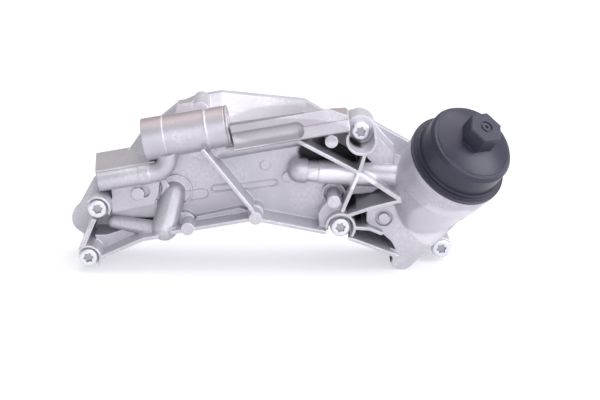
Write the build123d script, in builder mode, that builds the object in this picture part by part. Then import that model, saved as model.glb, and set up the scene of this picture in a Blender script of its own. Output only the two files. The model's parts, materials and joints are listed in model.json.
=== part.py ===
from build123d import *
from math import atan2, cos, degrees, hypot, radians, sin
import os

# Stance: the casting's long axis rises to the right by this angle
CASTING_RISE = 10.0

# Depths in front of the rear mounting face
FLANGE_THICK = 9.0
FLOOR_DEPTH = 42.0
RIB_DEPTH = 70.0

# Casting walls
WALL = 3.6
RIB_THICK = 3.0

# Bolt places across the mounting face, along and up the casting
LOWER_LEFT_BOLT = (0.0, 0.0)
UPPER_LEFT_BOLT = (16.9, 42.0)
CENTRE_BOLT = (220.2, -10.9)
UPPER_RIGHT_BOLT = (251.0, 63.0)
LOWER_RIGHT_BOLT = (303.8, -55.0)

# Bolts
BOLT_THREAD_R = 4.0
BOLT_NECK_R = 3.6
BOLT_HOLE_CLEARANCE = 0.5
BOLT_HEAD_R = 8.4
BOLT_HEAD_HEIGHT = 5.5
BOLT_HEAD_ROUND = 2.2
BOLT_REACH = 18.0
BOLT_END_CHAMFER = 1.0
BOLT_SEAT_CLEARANCE = 1.3
TORX_LOBE_OFFSET = 3.6
TORX_LOBE_R = 0.9
TORX_DEPTH = 3.2

# Bolt bosses, the thin rims beside the left heads and the cups round the other two
CORNER_BOSS_R = 9.2
LONG_SEAT_DEPTH = 63.5
SHORT_SEAT_DEPTH = 36.0
RIM_R = 11.4
CUP_R = 11.3
CUP_WALL = 2.0
CUP_RELIEF_DEPTH = 50.0
HEAD_RIMS = ((LOWER_LEFT_BOLT, 40), (UPPER_LEFT_BOLT, 50))
HEAD_CUPS = ((CENTRE_BOLT, 60), (UPPER_RIGHT_BOLT, -105))
RIM_CUT = 1.0
CUP_CUT = -4.0

# Flange plates at the two ends of the mounting face
LEFT_PLATE = (
    (-4, -4), (12, -6), (50, 4.5), (62, 2), (70, 60), (45, 74), (8, 52), (-10, 30), (-16, 10),
)
RIGHT_PLATE = (
    (203, -13), (222, -24.5), (262, -48), (296, -64), (308, -62), (300, 0), (292, 37), (263, 61),
    (246, 74), (226, 70), (190, 20),
)
EAR = (-4.5, 17.5)
EAR_R = 13.8

# Cooler chamber
CHAMBER_CORNER_R = 3.0
ROOF_RISE = 20.0
FLOOR_CROWN = 1.5
CHAMBER_DRAFT = 1.5
CHAMBER_INSET = 8.0

# Corners of the chamber's outline: along and up, their shift per inset, their shift per roof rise
CHAMBER_CORNERS = (
    (58, 8, 1, 1, 0, 0),
    (150, 8, -0.3, 1, 0, 0),
    (205, -14, -0.3, 1.2, 0, 0),
    (225, 6, -1.4, 0, 0, 0),
    (245, 34.5, -1.6, 0, 0, 0),
    (202, 69, -0.7, -0.9, 0, 0),
    (226, 74.5, -1.5, -0.2, 0, 0),
    (207, 91, -0.5, -1, 0, 0),
    (136, 91, -0.1, -1, 0, 1),
    (114, 91, 0.1, -1, 0, 1),
    (94, 87, 0.2, -1, 0, 0.97),
    (73, 84, 1, -0.7, -0.74, 0.1),
    (70, 73, 1, 0, -1.25, 0),
)

# Front ribs: start, end and thickness
FRONT_RIBS = (
    ((12.5, -1), (50, 8.5), RIB_THICK),
    ((50, 8.5), (62, 8.5), RIB_THICK),
    ((76, 10.2), (148, 10), RIB_THICK),
    ((148, 10), (206, -12.5), RIB_THICK),
    ((13.5, 35.5), (-2.5, 11.5), 4.2),
    ((116.5, 77.7), (147, 20), RIB_THICK),
    ((147, 20), (149, 13), RIB_THICK),
    ((198, 71.5), (244, 35), RIB_THICK),
    ((244, 35), (251, 49), RIB_THICK),
    ((244, 35), (224.5, 4), RIB_THICK),
    ((244, 35), (276, 4.5), 3.6),
    ((229, -1), (250, 2.4), 2.8),
    ((250, 2.4), (274, 4.2), 2.8),
    ((232, -13), (245, -16.2), 2.8),
    ((245, -16.2), (254, -22), 2.8),
    ((226.5, -22), (242, -31), RIB_THICK),
    ((242, -31), (264, -45), RIB_THICK),
)

# Flat-topped bodies on the front: depth of the top and outline
PANEL_DEPTH = 52.0
PLATFORMS = (
    (18.0, ((2, 10), (13, 34), (30, 31), (62, 32), (62, 12), (50, 8.5), (12.5, 0))),
    (48.0, ((6, 13), (16, 11.5), (42, 15), (50, 9), (12.5, 0), (8, 2))),
    (44.0, ((24, 28), (40, 22), (63, 18), (66, 34), (30, 34))),
    (PANEL_DEPTH, ((25.8, 31.5), (62.4, 32.4), (68.5, 40.6), (72.9, 53.7), (70, 60), (30, 58), (29, 46.7))),
    (47.0, ((69.7, 37.2), (73, 45), (71.9, 52.6), (77.1, 51.7), (79, 46), (75, 36))),
    (50.0, ((95, 9), (97.5, 14.6), (136, 16.2), (146, 11), (140, 9))),
    (60.0, ((202, -10), (203, 2), (208.5, 8.5), (214, 12), (226, 8), (228, -5), (214, -14), (206, -14))),
    (34.0, ((235, 13), (245.3, 21), (268.7, 12), (251.7, 4.8), (232.4, 6.3))),
    (45.0, ((251, 43), (256.2, 34.8), (273.7, 29), (277, 37.8), (262, 62), (251, 70))),
    (
        60.0,
        (
            (245.2, -1.8), (274.3, -0.5), (292, -8), (290, -38), (266, -44.5), (261.9, -34.5),
            (256.1, -26.9), (246.8, -18.8), (243, -12),
        ),
    ),
)

# Block on top of the tube's root, its top falling towards the flange
TOP_BLOCK = ((96.5, 100), (96.5, 109), (101, 116.2), (113, 116.2), (113, 100))
TOP_BLOCK_DEPTH = 48.0
TOP_BLOCK_BACK = 110.5

# Pocket below the centre bolt
LOWER_POCKET_DEPTH = 12.0
LOWER_POCKET = (
    (238.5, -19.5), (246.8, -19.3), (256.1, -27.4), (261.9, -35), (264, -42.4), (242.9, -29.6), (237, -26),
)

# Coolant tube on the upper left
TUBE_LEFT = 66.5
TUBE_COLLAR_END = 85.0
TUBE_RING = 121.0
TUBE_RIGHT = 140.0
TUBE_HEIGHT = 90.8
TUBE_DEPTH = 50.0
TUBE_R = 18.0
TUBE_STEP = 0.4
TUBE_END_CHAMFER = 1.6
TUBE_BORE_R = 15.0
TUBE_BORE_LENGTH = 62.0
TUBE_WEB_FOOT = 76.0

# Block and small pipe below the tube
BLOCK_LEFT = 19.5
BLOCK_BACK_LEFT = 14.5
BLOCK_RIGHT = 72.0
BLOCK_TOP = 72.5
BLOCK_FOOT = 56.0
BLOCK_DEPTH = 54.0
BLOCK_TOP_FALL = 1.0
SMALL_PIPE_LEFT = 21.0
SMALL_PIPE_R = 8.6
SMALL_PIPE_HEIGHT = 62.0
SMALL_PIPE_DEPTH = 55.0
SMALL_PIPE_TURN = 70.0
SMALL_PIPE_TURN_R = 14.5
SMALL_PIPE_COLLAR = (57.0, 66.0)
SMALL_PIPE_COLLAR_STEP = 0.5

# Beam from the tube to the upper right boss
BEAM_LEFT = 143.0
BEAM_RIGHT = 243.0
BEAM_TOP = 95.0
BEAM_LINE = 83.0
BEAM_BOTTOM = 72.5
BEAM_FOOT = 76.0
BEAM_RECESS = 1.5
BEAM_EDGE_BACK = 8.0
BEAM_END = ((229, 99), (229, 94.5), (241, 88), (250, 84), (250, 99))
BEAM_POCKET_R = 8.0
BEAM_POCKET_RISE = 4.0
BEAM_POCKET_END = 198.0
BAND_R = 7.0
BAND_HEIGHT = 67.5
BAND_LEFT = 119.0
BAND_RIGHT = 199.0

# Oil gallery pipe: its line, and length and radius of each step from its left end
GALLERY_START = (194.0, 41.0, 50.0)
GALLERY_END = (276.0, 20.5, 50.0)
GALLERY_STEPS = ((6.0, 11.3), (10.0, 9.6), (70.0, 10.4))
GALLERY_NUB = ((181.5, 35.5), (192, 36))
GALLERY_NUB_WIDTH = 8.4
GALLERY_NUB_DEPTH = 47.0

# Elbow pipe and the tapered pipe at the lower left
ELBOW_TOP = (81.2, 37.4, 40.0)
ELBOW_FOOT = (68.8, 11.4, 55.0)
ELBOW_TOP_R = 10.6
ELBOW_FOOT_R = 11.6
ELBOW_RING = (83.8, 39.2)
ELBOW_RING_R = 14.6
ELBOW_RING_WIDTH = 1.6
ELBOW_RING_HEIGHT = 2.4
TAPER_PIPE_START = (66.0, 8.0, 52.0)
TAPER_PIPE_END = (25.0, 22.0, 47.0)
TAPER_PIPE_END_R = 5.5
TAPER_PIPE_START_R = 8.0

# Round bodies on the front: place, radius and depth of the top
BOSS_TOP = 70.8
ROUND_BODIES = (
    ((90.0, 11.3), 5.6, BOSS_TOP),
    ((149.5, 10.5), 5.6, BOSS_TOP),
    ((218.6, 13.5), 5.6, BOSS_TOP),
    ((225.6, 66.9), 5.6, BOSS_TOP),
    ((86.5, 11.0), 9.5, 50.0),
    ((149.5, 11.5), 6.8, 56.0),
    ((122.5, 69.0), 4.0, 52.0),
    ((118.3, 82.0), 18.8, 50.0),
    ((118.2, 107.4), 7.7, 48.0),
)
PANEL_PAD = (51.5, 45.0)
PANEL_PAD_R = 5.6
PANEL_PAD_TOP = 55.0
PANEL_HOLLOW = (57.0, 45.5)
PANEL_HOLLOW_R = 5.2
PANEL_HOLLOW_DEPTH = 4.0

# Ring round the foot of the boss above the centre bolt
FOOT_RING = (219.0, 14.6)
FOOT_RING_R = 10.2
FOOT_RING_WIDTH = 1.4
FOOT_RING_TOP = 50.0

# Boss in its round recess beside the bowl
SIDE_BOSS = (258.4, -11.8)
SIDE_BOSS_R = 4.8
SIDE_BOSS_TOP = 62.0
SIDE_RECESS_R = 7.4
SIDE_RECESS_DEPTH = 56.0

# Shallow marks on the chamber's front: a loop, a pad and a disc
LOOP_ENDS = ((117, 35.2), (169.6, 31.4))
LOOP_WIDTH = 6.6
LOOP_LINE = 1.1
MARK_HEIGHT = 0.9
FLOOR_PAD = ((88, 32.6), (106.5, 32.5))
FLOOR_PAD_WIDTH = 9.0
DISC_PLACE = (164.2, 48.3)
DISC_R = 4.3

# Filter bowl: its axis leans out of the mounting face and climbs to the upper right
BOWL_RIM_CENTRE = (317.5, -74.0, 89.6)
BOWL_HEADING = 61.0
BOWL_LEAN = 34.4
BOWL_RIM_R = 43.0
BOWL_RIM_BAND = 6.0
BOWL_SHOULDER_R = 39.4
BOWL_SHOULDER_DROP = 30.0
BOWL_SHOULDER_STEP = 0.7
BOWL_WAIST_R = 36.6
BOWL_WAIST_DROP = 46.0
BOWL_FOOT_R = 31.0
BOWL_DEPTH = 96.0
BOWL_FOOT_ROUND = 8.0
BOWL_MOUTH_R = 37.5
BOWL_MOUTH_DEPTH = 23.0
BOWL_BORE_TOP_R = 32.5
BOWL_BORE_R = 29.3
BOWL_BORE_STEP = 5.0
BOWL_FLOOR_THICK = 14.0

# Drain lobe under the bowl and the skirt between them
LOBE = (268.0, -50.8)
LOBE_R = 10.5
LOBE_DEPTH = 60.0
SKIRT = (
    (258, -46), (262, -30), (285, -5), (322, -10), (330, -23.5), (321.2, -26.3), (309.3, -35.4),
    (293.8, -45.5), (273.7, -59.6),
)

# Filter cap, along the bowl axis from the flange's front edge circle
CAP_FLANGE_R = 43.7
CAP_FLANGE_DROP = 1.2
CAP_FLANGE_TOP = 0.6
CAP_RING_R = 42.2
CAP_RING_TOP = 2.0
CAP_LINE_WIDTH = 0.7
CAP_UPPER_RING_R = 41.8
CAP_UPPER_RING_TOP = 3.7
CAP_BODY_R = 38.0
CAP_SHOULDER = 24.0
CAP_SHOULDER_ROUND = 3.2
CAP_LIP = 4.4
CAP_DOME_TOP = 34.8
CAP_HEX_FLATS = 27.0
CAP_HEX_TOP = 51.5
CAP_HEX_FOOT = 30.0
CAP_HEX_TURN = 16.0
CAP_HEX_CHAMFER = 1.0
CAP_RECESS_R = 5.6
CAP_RECESS_BOSS_R = 3.9
CAP_DIMPLE_R = 1.7
CAP_RECESS_DEPTH = 1.2
CAP_SKIRT_R = 36.8
CAP_SKIRT_LENGTH = 20.0
CAP_WALL = 3.6
CAP_CEILING = 27.0
CAP_CEILING_ROUND = 6.0
CAP_SEAL_R = 1.4
CAP_SEAL_DROP = 12.0

# Filter element
ELEMENT_R = 28.0
ELEMENT_STANDOFF = 10.0
ELEMENT_TOP = 10.0
DISC_THICK = 2.4
DISC_OVERHANG = 0.5
DISC_COLLAR_WALL = 1.6
DISC_COLLAR_HEIGHT = 3.0
PLEAT_COUNT = 36
PLEAT_DEPTH = 13.0
PLEAT_END_GAP = 0.2
PAPER_THICK = 1.0
CORE_WALL = 1.1
CORE_WINDOW = 6.0
CORE_WINDOW_PITCH = 10.0
CORE_WINDOW_ROWS = 7

# Standpipe in the middle of the bowl, and its press-in depth in the bowl's floor
STANDPIPE_R = 9.0
STANDPIPE_WALL = 1.8
STANDPIPE_TOP = -9.0
STANDPIPE_SEAT = 6.0
STANDPIPE_WINDOW_WIDTH = 5.0
STANDPIPE_WINDOW_HEIGHT = 10.0
STANDPIPE_WINDOW_PITCH = 15.0
STANDPIPE_WINDOW_ROWS = 3
STANDPIPE_WINDOW_RISE = 22.0
INLET_R = 1.5
INLET_COUNT = 6

# Drain pin on the lower end disc
PIN_OFFSET = 18.0
PIN_R = 3.4
PIN_ENTRY = 7.0
PIN_GROOVE_DEPTH = 0.8
PIN_GROOVE_DROP = 1.5
PIN_GROOVE_WIDTH = 1.6
PIN_SEAL_THICK = 1.4
DRAIN_HOLE_R = 4.3
DRAIN_HOLE_DEPTH = 9.0

# Return check valve round the standpipe
CHECK_R = 13.6
CHECK_THICK = 1.6
CHECK_LIP_WALL = 1.6
CHECK_LIP_HEIGHT = 2.4

# Bypass valve that hangs from the cap's ceiling
CAGE_R = 10.4
CAGE_WALL = 1.4
CAGE_BOTTOM = -4.0
CAGE_WINDOW_WIDTH = 6.0
CAGE_WINDOW_MARGIN = 2.0
SEAT_TOP = 14.0
SEAT_THICK = 2.0
SEAT_HOLE_R = 5.5
POPPET_R = 7.8
POPPET_THICK = 1.8
STEM_R = 2.2
STEM_END_GAP = 0.2
BRIDGE_THICK = 2.0
BRIDGE_WIDTH = 3.2
BRIDGE_HUB_WALL = 1.2
SPRING_R = 4.6
SPRING_WIRE_R = 0.5
SPRING_TURNS = 5

# Oil cooler in the chamber
COOLER_LEFT = 82.0
COOLER_RIGHT = 196.0
COOLER_BOTTOM = 20.0
COOLER_TOP = 77.0
COOLER_STANDOFF = 6.0
COOLER_BASE_THICK = 3.0
COOLER_BASE_CORNER_R = 5.0
COOLER_EAR = 11.0
COOLER_PLATES = 8
COOLER_PLATE_PITCH = 3.1
COOLER_PLATE_SHARE = 0.55
COOLER_PLATE_CORNER_R = 9.0
COOLER_PLATE_MARGIN = 1.0
COOLER_SEAM_STEP = 1.5
COOLER_SCREW_R = 2.5
COOLER_SCREW_HEAD_R = 4.4
COOLER_SCREW_HEAD = 3.2
COOLER_SCREW_LENGTH = 7.0
COOLER_SCREW_END_GAP = 1.0
COOLER_SOCKET_R = 2.3
COOLER_SOCKET_DEPTH = 1.8
COOLER_PORT_R = 6.0
COOLER_SEAL_INNER_R = 7.5
COOLER_SEAL_OUTER_R = 9.5
COOLER_SEAL_DEPTH = 1.8
COOLER_PAD_MARGIN = 1.5

# Seals in the mounting face
GROOVE_DEPTH = 2.4
GASKET_PROUD = 0.6
GASKET_INSET = 2.6
GASKET_WIDTH = 2.8
PORT_PLACES = ((262.0, -22.0), (262.0, 18.0))
PORT_R = 6.5
PORT_DEPTH = 24.0
PORT_SEAL_INNER_R = 8.6
PORT_SEAL_OUTER_R = 10.8
SEAL_SIDE_GAP = 0.2

# Running clearance between parts that move against each other
CLEARANCE = 0.3

os.makedirs("parts", exist_ok=True)

LONG_AXIS = Vector(cos(radians(CASTING_RISE)), 0, sin(radians(CASTING_RISE)))
UP_AXIS = Vector(-sin(radians(CASTING_RISE)), 0, cos(radians(CASTING_RISE)))
FRONT_AXIS = Vector(0, -1, 0)
LEFT_BOLTS_MIDDLE = (
    (LOWER_LEFT_BOLT[0] + UPPER_LEFT_BOLT[0]) / 2,
    (LOWER_LEFT_BOLT[1] + UPPER_LEFT_BOLT[1]) / 2,
)
CASTING_ORIGIN = -(LONG_AXIS * LEFT_BOLTS_MIDDLE[0] + UP_AXIS * LEFT_BOLTS_MIDDLE[1])

BOWL_AXIS = Vector(
    cos(radians(BOWL_LEAN)) * cos(radians(BOWL_HEADING)),
    -sin(radians(BOWL_LEAN)),
    cos(radians(BOWL_LEAN)) * sin(radians(BOWL_HEADING)),
)
RIM_CENTRE = CASTING_ORIGIN + Vector(*BOWL_RIM_CENTRE)


def spot(along, up, depth):
    """Point in the casting: along its length, up across it, out from the mounting face."""
    return CASTING_ORIGIN + LONG_AXIS * along + UP_AXIS * up + FRONT_AXIS * depth


def level(depth):
    """Plane parallel to the mounting face, at a depth in front of it."""
    return Plane(origin=spot(0, 0, depth), x_dir=LONG_AXIS, z_dir=FRONT_AXIS)


def slice_at(along):
    """Plane across the casting's length: x points out of the mounting face, y up the casting."""
    return Plane(origin=spot(along, 0, 0), x_dir=FRONT_AXIS, z_dir=-LONG_AXIS)


def pipe_plane(start, end):
    """Plane at the start of a straight pipe, looking along it."""
    return Plane(origin=spot(*start), z_dir=spot(*end) - spot(*start))


def rib(start, end, thickness, mode=Mode.ADD):
    """Round-ended rib outline between two points of the sketch in work."""
    run = (end[0] - start[0], end[1] - start[1])
    with Locations(((start[0] + end[0]) / 2, (start[1] + end[1]) / 2)):
        SlotCenterToCenter(hypot(*run), thickness, rotation=degrees(atan2(run[1], run[0])), mode=mode)


def crescent(place, inner, outer, side, cut):
    """Ring outline round a place, kept only beyond a cut towards one side."""
    with Locations(place):
        Circle(outer)
        if inner > 0:
            Circle(inner, mode=Mode.SUBTRACT)
    shift = cut - outer
    with Locations((place[0] + shift * cos(radians(side)), place[1] + shift * sin(radians(side)))):
        Rectangle(2 * outer, 3 * outer, rotation=side, mode=Mode.SUBTRACT)


def chamber_face(rise, inset, mode=Mode.ADD):
    """Outline of the cooler chamber, for a roof that rises and walls moved inwards."""
    with BuildLine() as outline:
        FilletPolyline(
            *(
                (along + inset * side_in + rise * side_out, up + inset * up_in + rise * up_out)
                for along, up, side_in, up_in, side_out, up_out in CHAMBER_CORNERS
            ),
            radius=CHAMBER_CORNER_R,
            close=True,
        )
    make_face(outline.edges(), mode=mode)


def bowl_level(height):
    """Plane across the bowl axis, at a height above the cap flange's front edge."""
    return Plane(
        origin=RIM_CENTRE + BOWL_AXIS * height,
        x_dir=LONG_AXIS.cross(BOWL_AXIS).cross(BOWL_AXIS) * -1,
        z_dir=BOWL_AXIS,
    )


BOWL_CROSS = bowl_level(0)
BOWL_PROFILE = Plane(origin=RIM_CENTRE, x_dir=BOWL_CROSS.x_dir, z_dir=-BOWL_CROSS.y_dir)
BOWL_LINE = Axis(RIM_CENTRE, BOWL_AXIS)
BOWL_TOP = -CAP_FLANGE_DROP - CLEARANCE
BOWL_FLOOR_DROP = BOWL_DEPTH - BOWL_FLOOR_THICK
ELEMENT_BOTTOM = ELEMENT_STANDOFF - BOWL_FLOOR_DROP
STANDPIPE_FIRST_WINDOW = STANDPIPE_WINDOW_RISE - BOWL_FLOOR_DROP

CAVITY_DEPTH = FLOOR_DEPTH - WALL
COOLER_SEAT = CAVITY_DEPTH - COOLER_STANDOFF
COOLER_MIDDLE = ((COOLER_LEFT + COOLER_RIGHT) / 2, (COOLER_BOTTOM + COOLER_TOP) / 2)
COOLER_SCREWS = [
    (along, up)
    for along in (COOLER_LEFT + COOLER_EAR / 2, COOLER_RIGHT - COOLER_EAR / 2)
    for up in (COOLER_BOTTOM + COOLER_EAR / 2, COOLER_TOP - COOLER_EAR / 2)
]
COOLER_PORTS = [
    (COOLER_MIDDLE[0] + side * (COOLER_RIGHT - COOLER_LEFT - 2 * COOLER_EAR) / 3, COOLER_MIDDLE[1])
    for side in (-1, 1)
]
LONG_BOLT_PLACES = (LOWER_LEFT_BOLT, UPPER_LEFT_BOLT, CENTRE_BOLT)
SHORT_BOLT_PLACES = (UPPER_RIGHT_BOLT, LOWER_RIGHT_BOLT)


# Cast housing
with BuildPart() as housing:
    # Mounting flange
    with BuildSketch(level(0)):
        chamber_face(ROOF_RISE, 0)
        Polygon(*LEFT_PLATE, align=None)
        Polygon(*RIGHT_PLATE, align=None)
        with Locations(EAR):
            Circle(EAR_R)
        with Locations(CENTRE_BOLT, UPPER_RIGHT_BOLT):
            Circle(CUP_R)
        with Locations(LOWER_LEFT_BOLT, UPPER_LEFT_BOLT):
            Circle(RIM_R)
        with Locations(LOWER_RIGHT_BOLT):
            Circle(CORNER_BOSS_R)
        with Locations(LOBE):
            Circle(LOBE_R)
    extrude(amount=FLANGE_THICK)

    # Cooler chamber, its roof falling towards the front
    with BuildSketch(level(FLANGE_THICK)):
        chamber_face(ROOF_RISE, 0)
    with BuildSketch(level(FLOOR_DEPTH)):
        chamber_face(FLOOR_CROWN, CHAMBER_DRAFT)
    loft()

    # Outer wall and ribs up to the front edges
    with BuildSketch(level(FLANGE_THICK)):
        for start, end, thickness in FRONT_RIBS:
            rib(start, end, thickness)
    extrude(amount=RIB_DEPTH - FLANGE_THICK)

    # Beam between the tube and the upper right boss
    with BuildSketch(slice_at(BEAM_RIGHT)):
        Polygon(
            (FLANGE_THICK, BEAM_BOTTOM),
            (RIB_DEPTH, BEAM_BOTTOM),
            (RIB_DEPTH + BEAM_RECESS, BEAM_BOTTOM + BEAM_RECESS),
            (RIB_DEPTH - BEAM_RECESS, BEAM_LINE),
            (RIB_DEPTH, BEAM_LINE + 1),
            (RIB_DEPTH, BEAM_TOP),
            (RIB_DEPTH - BEAM_EDGE_BACK, BEAM_TOP - BEAM_RECESS),
            (FLANGE_THICK, BEAM_FOOT),
            align=None,
        )
    extrude(amount=BEAM_RIGHT - BEAM_LEFT)
    with BuildSketch(level(0)):
        Polygon(*BEAM_END, align=None)
    extrude(amount=RIB_DEPTH + BEAM_RECESS, mode=Mode.SUBTRACT)
    with BuildSketch(slice_at(BEAM_POCKET_END)):
        with Locations((RIB_DEPTH + BEAM_POCKET_RISE, BEAM_LINE - 1)):
            Circle(BEAM_POCKET_R)
    extrude(amount=BEAM_POCKET_END - BEAM_LEFT, mode=Mode.SUBTRACT)
    with Locations(spot(BEAM_POCKET_END, BEAM_LINE - 1, RIB_DEPTH + BEAM_POCKET_RISE)):
        Sphere(BEAM_POCKET_R, mode=Mode.SUBTRACT)

    # Half-round band along the foot of the beam
    with BuildSketch(slice_at(BAND_RIGHT)):
        with Locations((FLOOR_DEPTH, BAND_HEIGHT)):
            Circle(BAND_R)
    extrude(amount=BAND_RIGHT - BAND_LEFT)

    # Flat-topped and round bodies
    for top, outline in PLATFORMS:
        with BuildSketch(level(FLANGE_THICK)):
            Polygon(*outline, align=None)
        extrude(amount=top - FLANGE_THICK)
    with BuildSketch(level(FLANGE_THICK)):
        Polygon(*TOP_BLOCK, align=None)
    extrude(amount=TOP_BLOCK_DEPTH - FLANGE_THICK)
    with BuildSketch(slice_at(TOP_BLOCK[-1][0])):
        Polygon(
            (FLANGE_THICK, TOP_BLOCK_BACK),
            (TOP_BLOCK_DEPTH, TOP_BLOCK[2][1]),
            (FLANGE_THICK, TOP_BLOCK[2][1]),
            align=None,
        )
    extrude(amount=TOP_BLOCK[-1][0] - TOP_BLOCK[0][0], mode=Mode.SUBTRACT)
    with BuildSketch(level(PANEL_DEPTH)):
        with Locations(PANEL_HOLLOW):
            Circle(PANEL_HOLLOW_R)
    extrude(amount=-PANEL_HOLLOW_DEPTH, mode=Mode.SUBTRACT)
    for place, radius, top in (*ROUND_BODIES, (PANEL_PAD, PANEL_PAD_R, PANEL_PAD_TOP)):
        with BuildSketch(level(FLANGE_THICK)):
            with Locations(place):
                Circle(radius)
        extrude(amount=top - FLANGE_THICK)
    with BuildSketch(level(FLOOR_DEPTH - WALL / 2)):
        with Locations(FOOT_RING):
            Circle(FOOT_RING_R)
            Circle(FOOT_RING_R - FOOT_RING_WIDTH, mode=Mode.SUBTRACT)
    extrude(amount=FOOT_RING_TOP - FLOOR_DEPTH + WALL / 2)

    # Shallow marks on the chamber's front
    with BuildSketch(level(FLOOR_DEPTH - WALL / 2)):
        rib(*LOOP_ENDS, LOOP_WIDTH)
        rib(*LOOP_ENDS, LOOP_WIDTH - 2 * LOOP_LINE, mode=Mode.SUBTRACT)
        rib(*FLOOR_PAD, FLOOR_PAD_WIDTH)
        with Locations(DISC_PLACE):
            Circle(DISC_R)
    extrude(amount=MARK_HEIGHT + WALL / 2)
    with BuildSketch(level(FLOOR_DEPTH - WALL / 2)):
        with Locations(ELBOW_RING):
            Circle(ELBOW_RING_R)
            Circle(ELBOW_RING_R - ELBOW_RING_WIDTH, mode=Mode.SUBTRACT)
    extrude(amount=ELBOW_RING_HEIGHT + WALL / 2)

    # Bolt bosses
    with BuildSketch(level(FLANGE_THICK)):
        with Locations(*LONG_BOLT_PLACES):
            Circle(CORNER_BOSS_R)
    extrude(amount=LONG_SEAT_DEPTH - FLANGE_THICK)
    with BuildSketch(level(FLANGE_THICK)):
        with Locations(UPPER_RIGHT_BOLT):
            Circle(CUP_R + CUP_WALL)
        with Locations(LOWER_RIGHT_BOLT):
            Circle(CORNER_BOSS_R)
    extrude(amount=SHORT_SEAT_DEPTH - FLANGE_THICK)

    # Rims and cups that stand beside the bolt heads
    for place, side in HEAD_RIMS:
        with BuildSketch(level(FLANGE_THICK)):
            crescent(place, 0, RIM_R, side, RIM_CUT)
        extrude(amount=RIB_DEPTH - FLANGE_THICK)
    for place, side in HEAD_CUPS:
        with BuildSketch(level(FLANGE_THICK)):
            crescent(place, CUP_R, CUP_R + CUP_WALL, side, CUP_CUT)
        extrude(amount=RIB_DEPTH - FLANGE_THICK)

    # Coolant tube, turned from its stepped outline, and its web
    with BuildSketch(Plane(origin=spot(0, TUBE_HEIGHT, TUBE_DEPTH), x_dir=LONG_AXIS, z_dir=FRONT_AXIS)):
        with BuildLine():
            Polyline(
                (TUBE_LEFT, 0),
                (TUBE_LEFT, TUBE_R),
                (TUBE_LEFT + TUBE_STEP, TUBE_R + TUBE_STEP),
                (TUBE_COLLAR_END, TUBE_R + TUBE_STEP),
                (TUBE_COLLAR_END + TUBE_STEP, TUBE_R),
                (TUBE_RING - TUBE_STEP, TUBE_R),
                (TUBE_RING, TUBE_R + TUBE_STEP),
                (TUBE_RING + 2 * TUBE_STEP, TUBE_R + TUBE_STEP),
                (TUBE_RING + 4 * TUBE_STEP, TUBE_R - TUBE_STEP),
                (TUBE_RIGHT - TUBE_END_CHAMFER, TUBE_R - TUBE_STEP),
                (TUBE_RIGHT, TUBE_R - TUBE_STEP - TUBE_END_CHAMFER),
                (TUBE_RIGHT, 0),
                close=True,
            )
        make_face()
    revolve(axis=Axis(spot(0, TUBE_HEIGHT, TUBE_DEPTH), LONG_AXIS))
    with BuildSketch(level(FLANGE_THICK)):
        Polygon(
            (TUBE_LEFT + TUBE_R / 4, TUBE_WEB_FOOT),
            (TUBE_RIGHT - TUBE_END_CHAMFER, TUBE_WEB_FOOT),
            (TUBE_RIGHT - TUBE_END_CHAMFER, TUBE_HEIGHT),
            (TUBE_LEFT + TUBE_R / 4, TUBE_HEIGHT),
            align=None,
        )
    extrude(amount=TUBE_DEPTH - FLANGE_THICK)

    # Block and small pipe below the tube
    for depth, left, top in (
        (0, BLOCK_BACK_LEFT, BLOCK_TOP + BLOCK_TOP_FALL),
        (BLOCK_DEPTH, BLOCK_LEFT, BLOCK_TOP - BLOCK_TOP_FALL),
    ):
        with BuildSketch(level(depth)):
            with Locations(((left + BLOCK_RIGHT) / 2, (BLOCK_FOOT + top) / 2)):
                Rectangle(BLOCK_RIGHT - left, top - BLOCK_FOOT)
    loft()
    pipe_turn = spot(SMALL_PIPE_TURN, SMALL_PIPE_HEIGHT, SMALL_PIPE_DEPTH)
    with BuildLine() as small_pipe_path:
        Line(spot(SMALL_PIPE_LEFT, SMALL_PIPE_HEIGHT, SMALL_PIPE_DEPTH), pipe_turn)
        TangentArc(
            pipe_turn,
            pipe_turn + (LONG_AXIS + UP_AXIS) * SMALL_PIPE_TURN_R,
            tangent=LONG_AXIS,
        )
    with BuildSketch(slice_at(SMALL_PIPE_LEFT)):
        with Locations((SMALL_PIPE_DEPTH, SMALL_PIPE_HEIGHT)):
            Circle(SMALL_PIPE_R)
    sweep(path=small_pipe_path.line)
    with BuildSketch(slice_at(SMALL_PIPE_COLLAR[1])):
        with Locations((SMALL_PIPE_DEPTH, SMALL_PIPE_HEIGHT)):
            Circle(SMALL_PIPE_R + SMALL_PIPE_COLLAR_STEP)
    extrude(amount=SMALL_PIPE_COLLAR[1] - SMALL_PIPE_COLLAR[0])

    # Elbow pipe from the chamber's front, and the tapered pipe that leaves its foot
    with BuildSketch(pipe_plane(ELBOW_TOP, ELBOW_FOOT)):
        Circle(ELBOW_TOP_R)
    with BuildSketch(pipe_plane(ELBOW_FOOT, ELBOW_TOP)):
        Circle(ELBOW_FOOT_R)
    loft()
    with Locations(spot(*ELBOW_TOP)):
        Sphere(ELBOW_TOP_R)
    with Locations(spot(*ELBOW_FOOT)):
        Sphere(ELBOW_FOOT_R)
    with BuildSketch(pipe_plane(TAPER_PIPE_END, TAPER_PIPE_START)):
        Circle(TAPER_PIPE_END_R)
    with BuildSketch(pipe_plane(TAPER_PIPE_START, TAPER_PIPE_END)):
        Circle(TAPER_PIPE_START_R)
    loft()
    with Locations(spot(*TAPER_PIPE_END)):
        Sphere(TAPER_PIPE_END_R)

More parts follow.
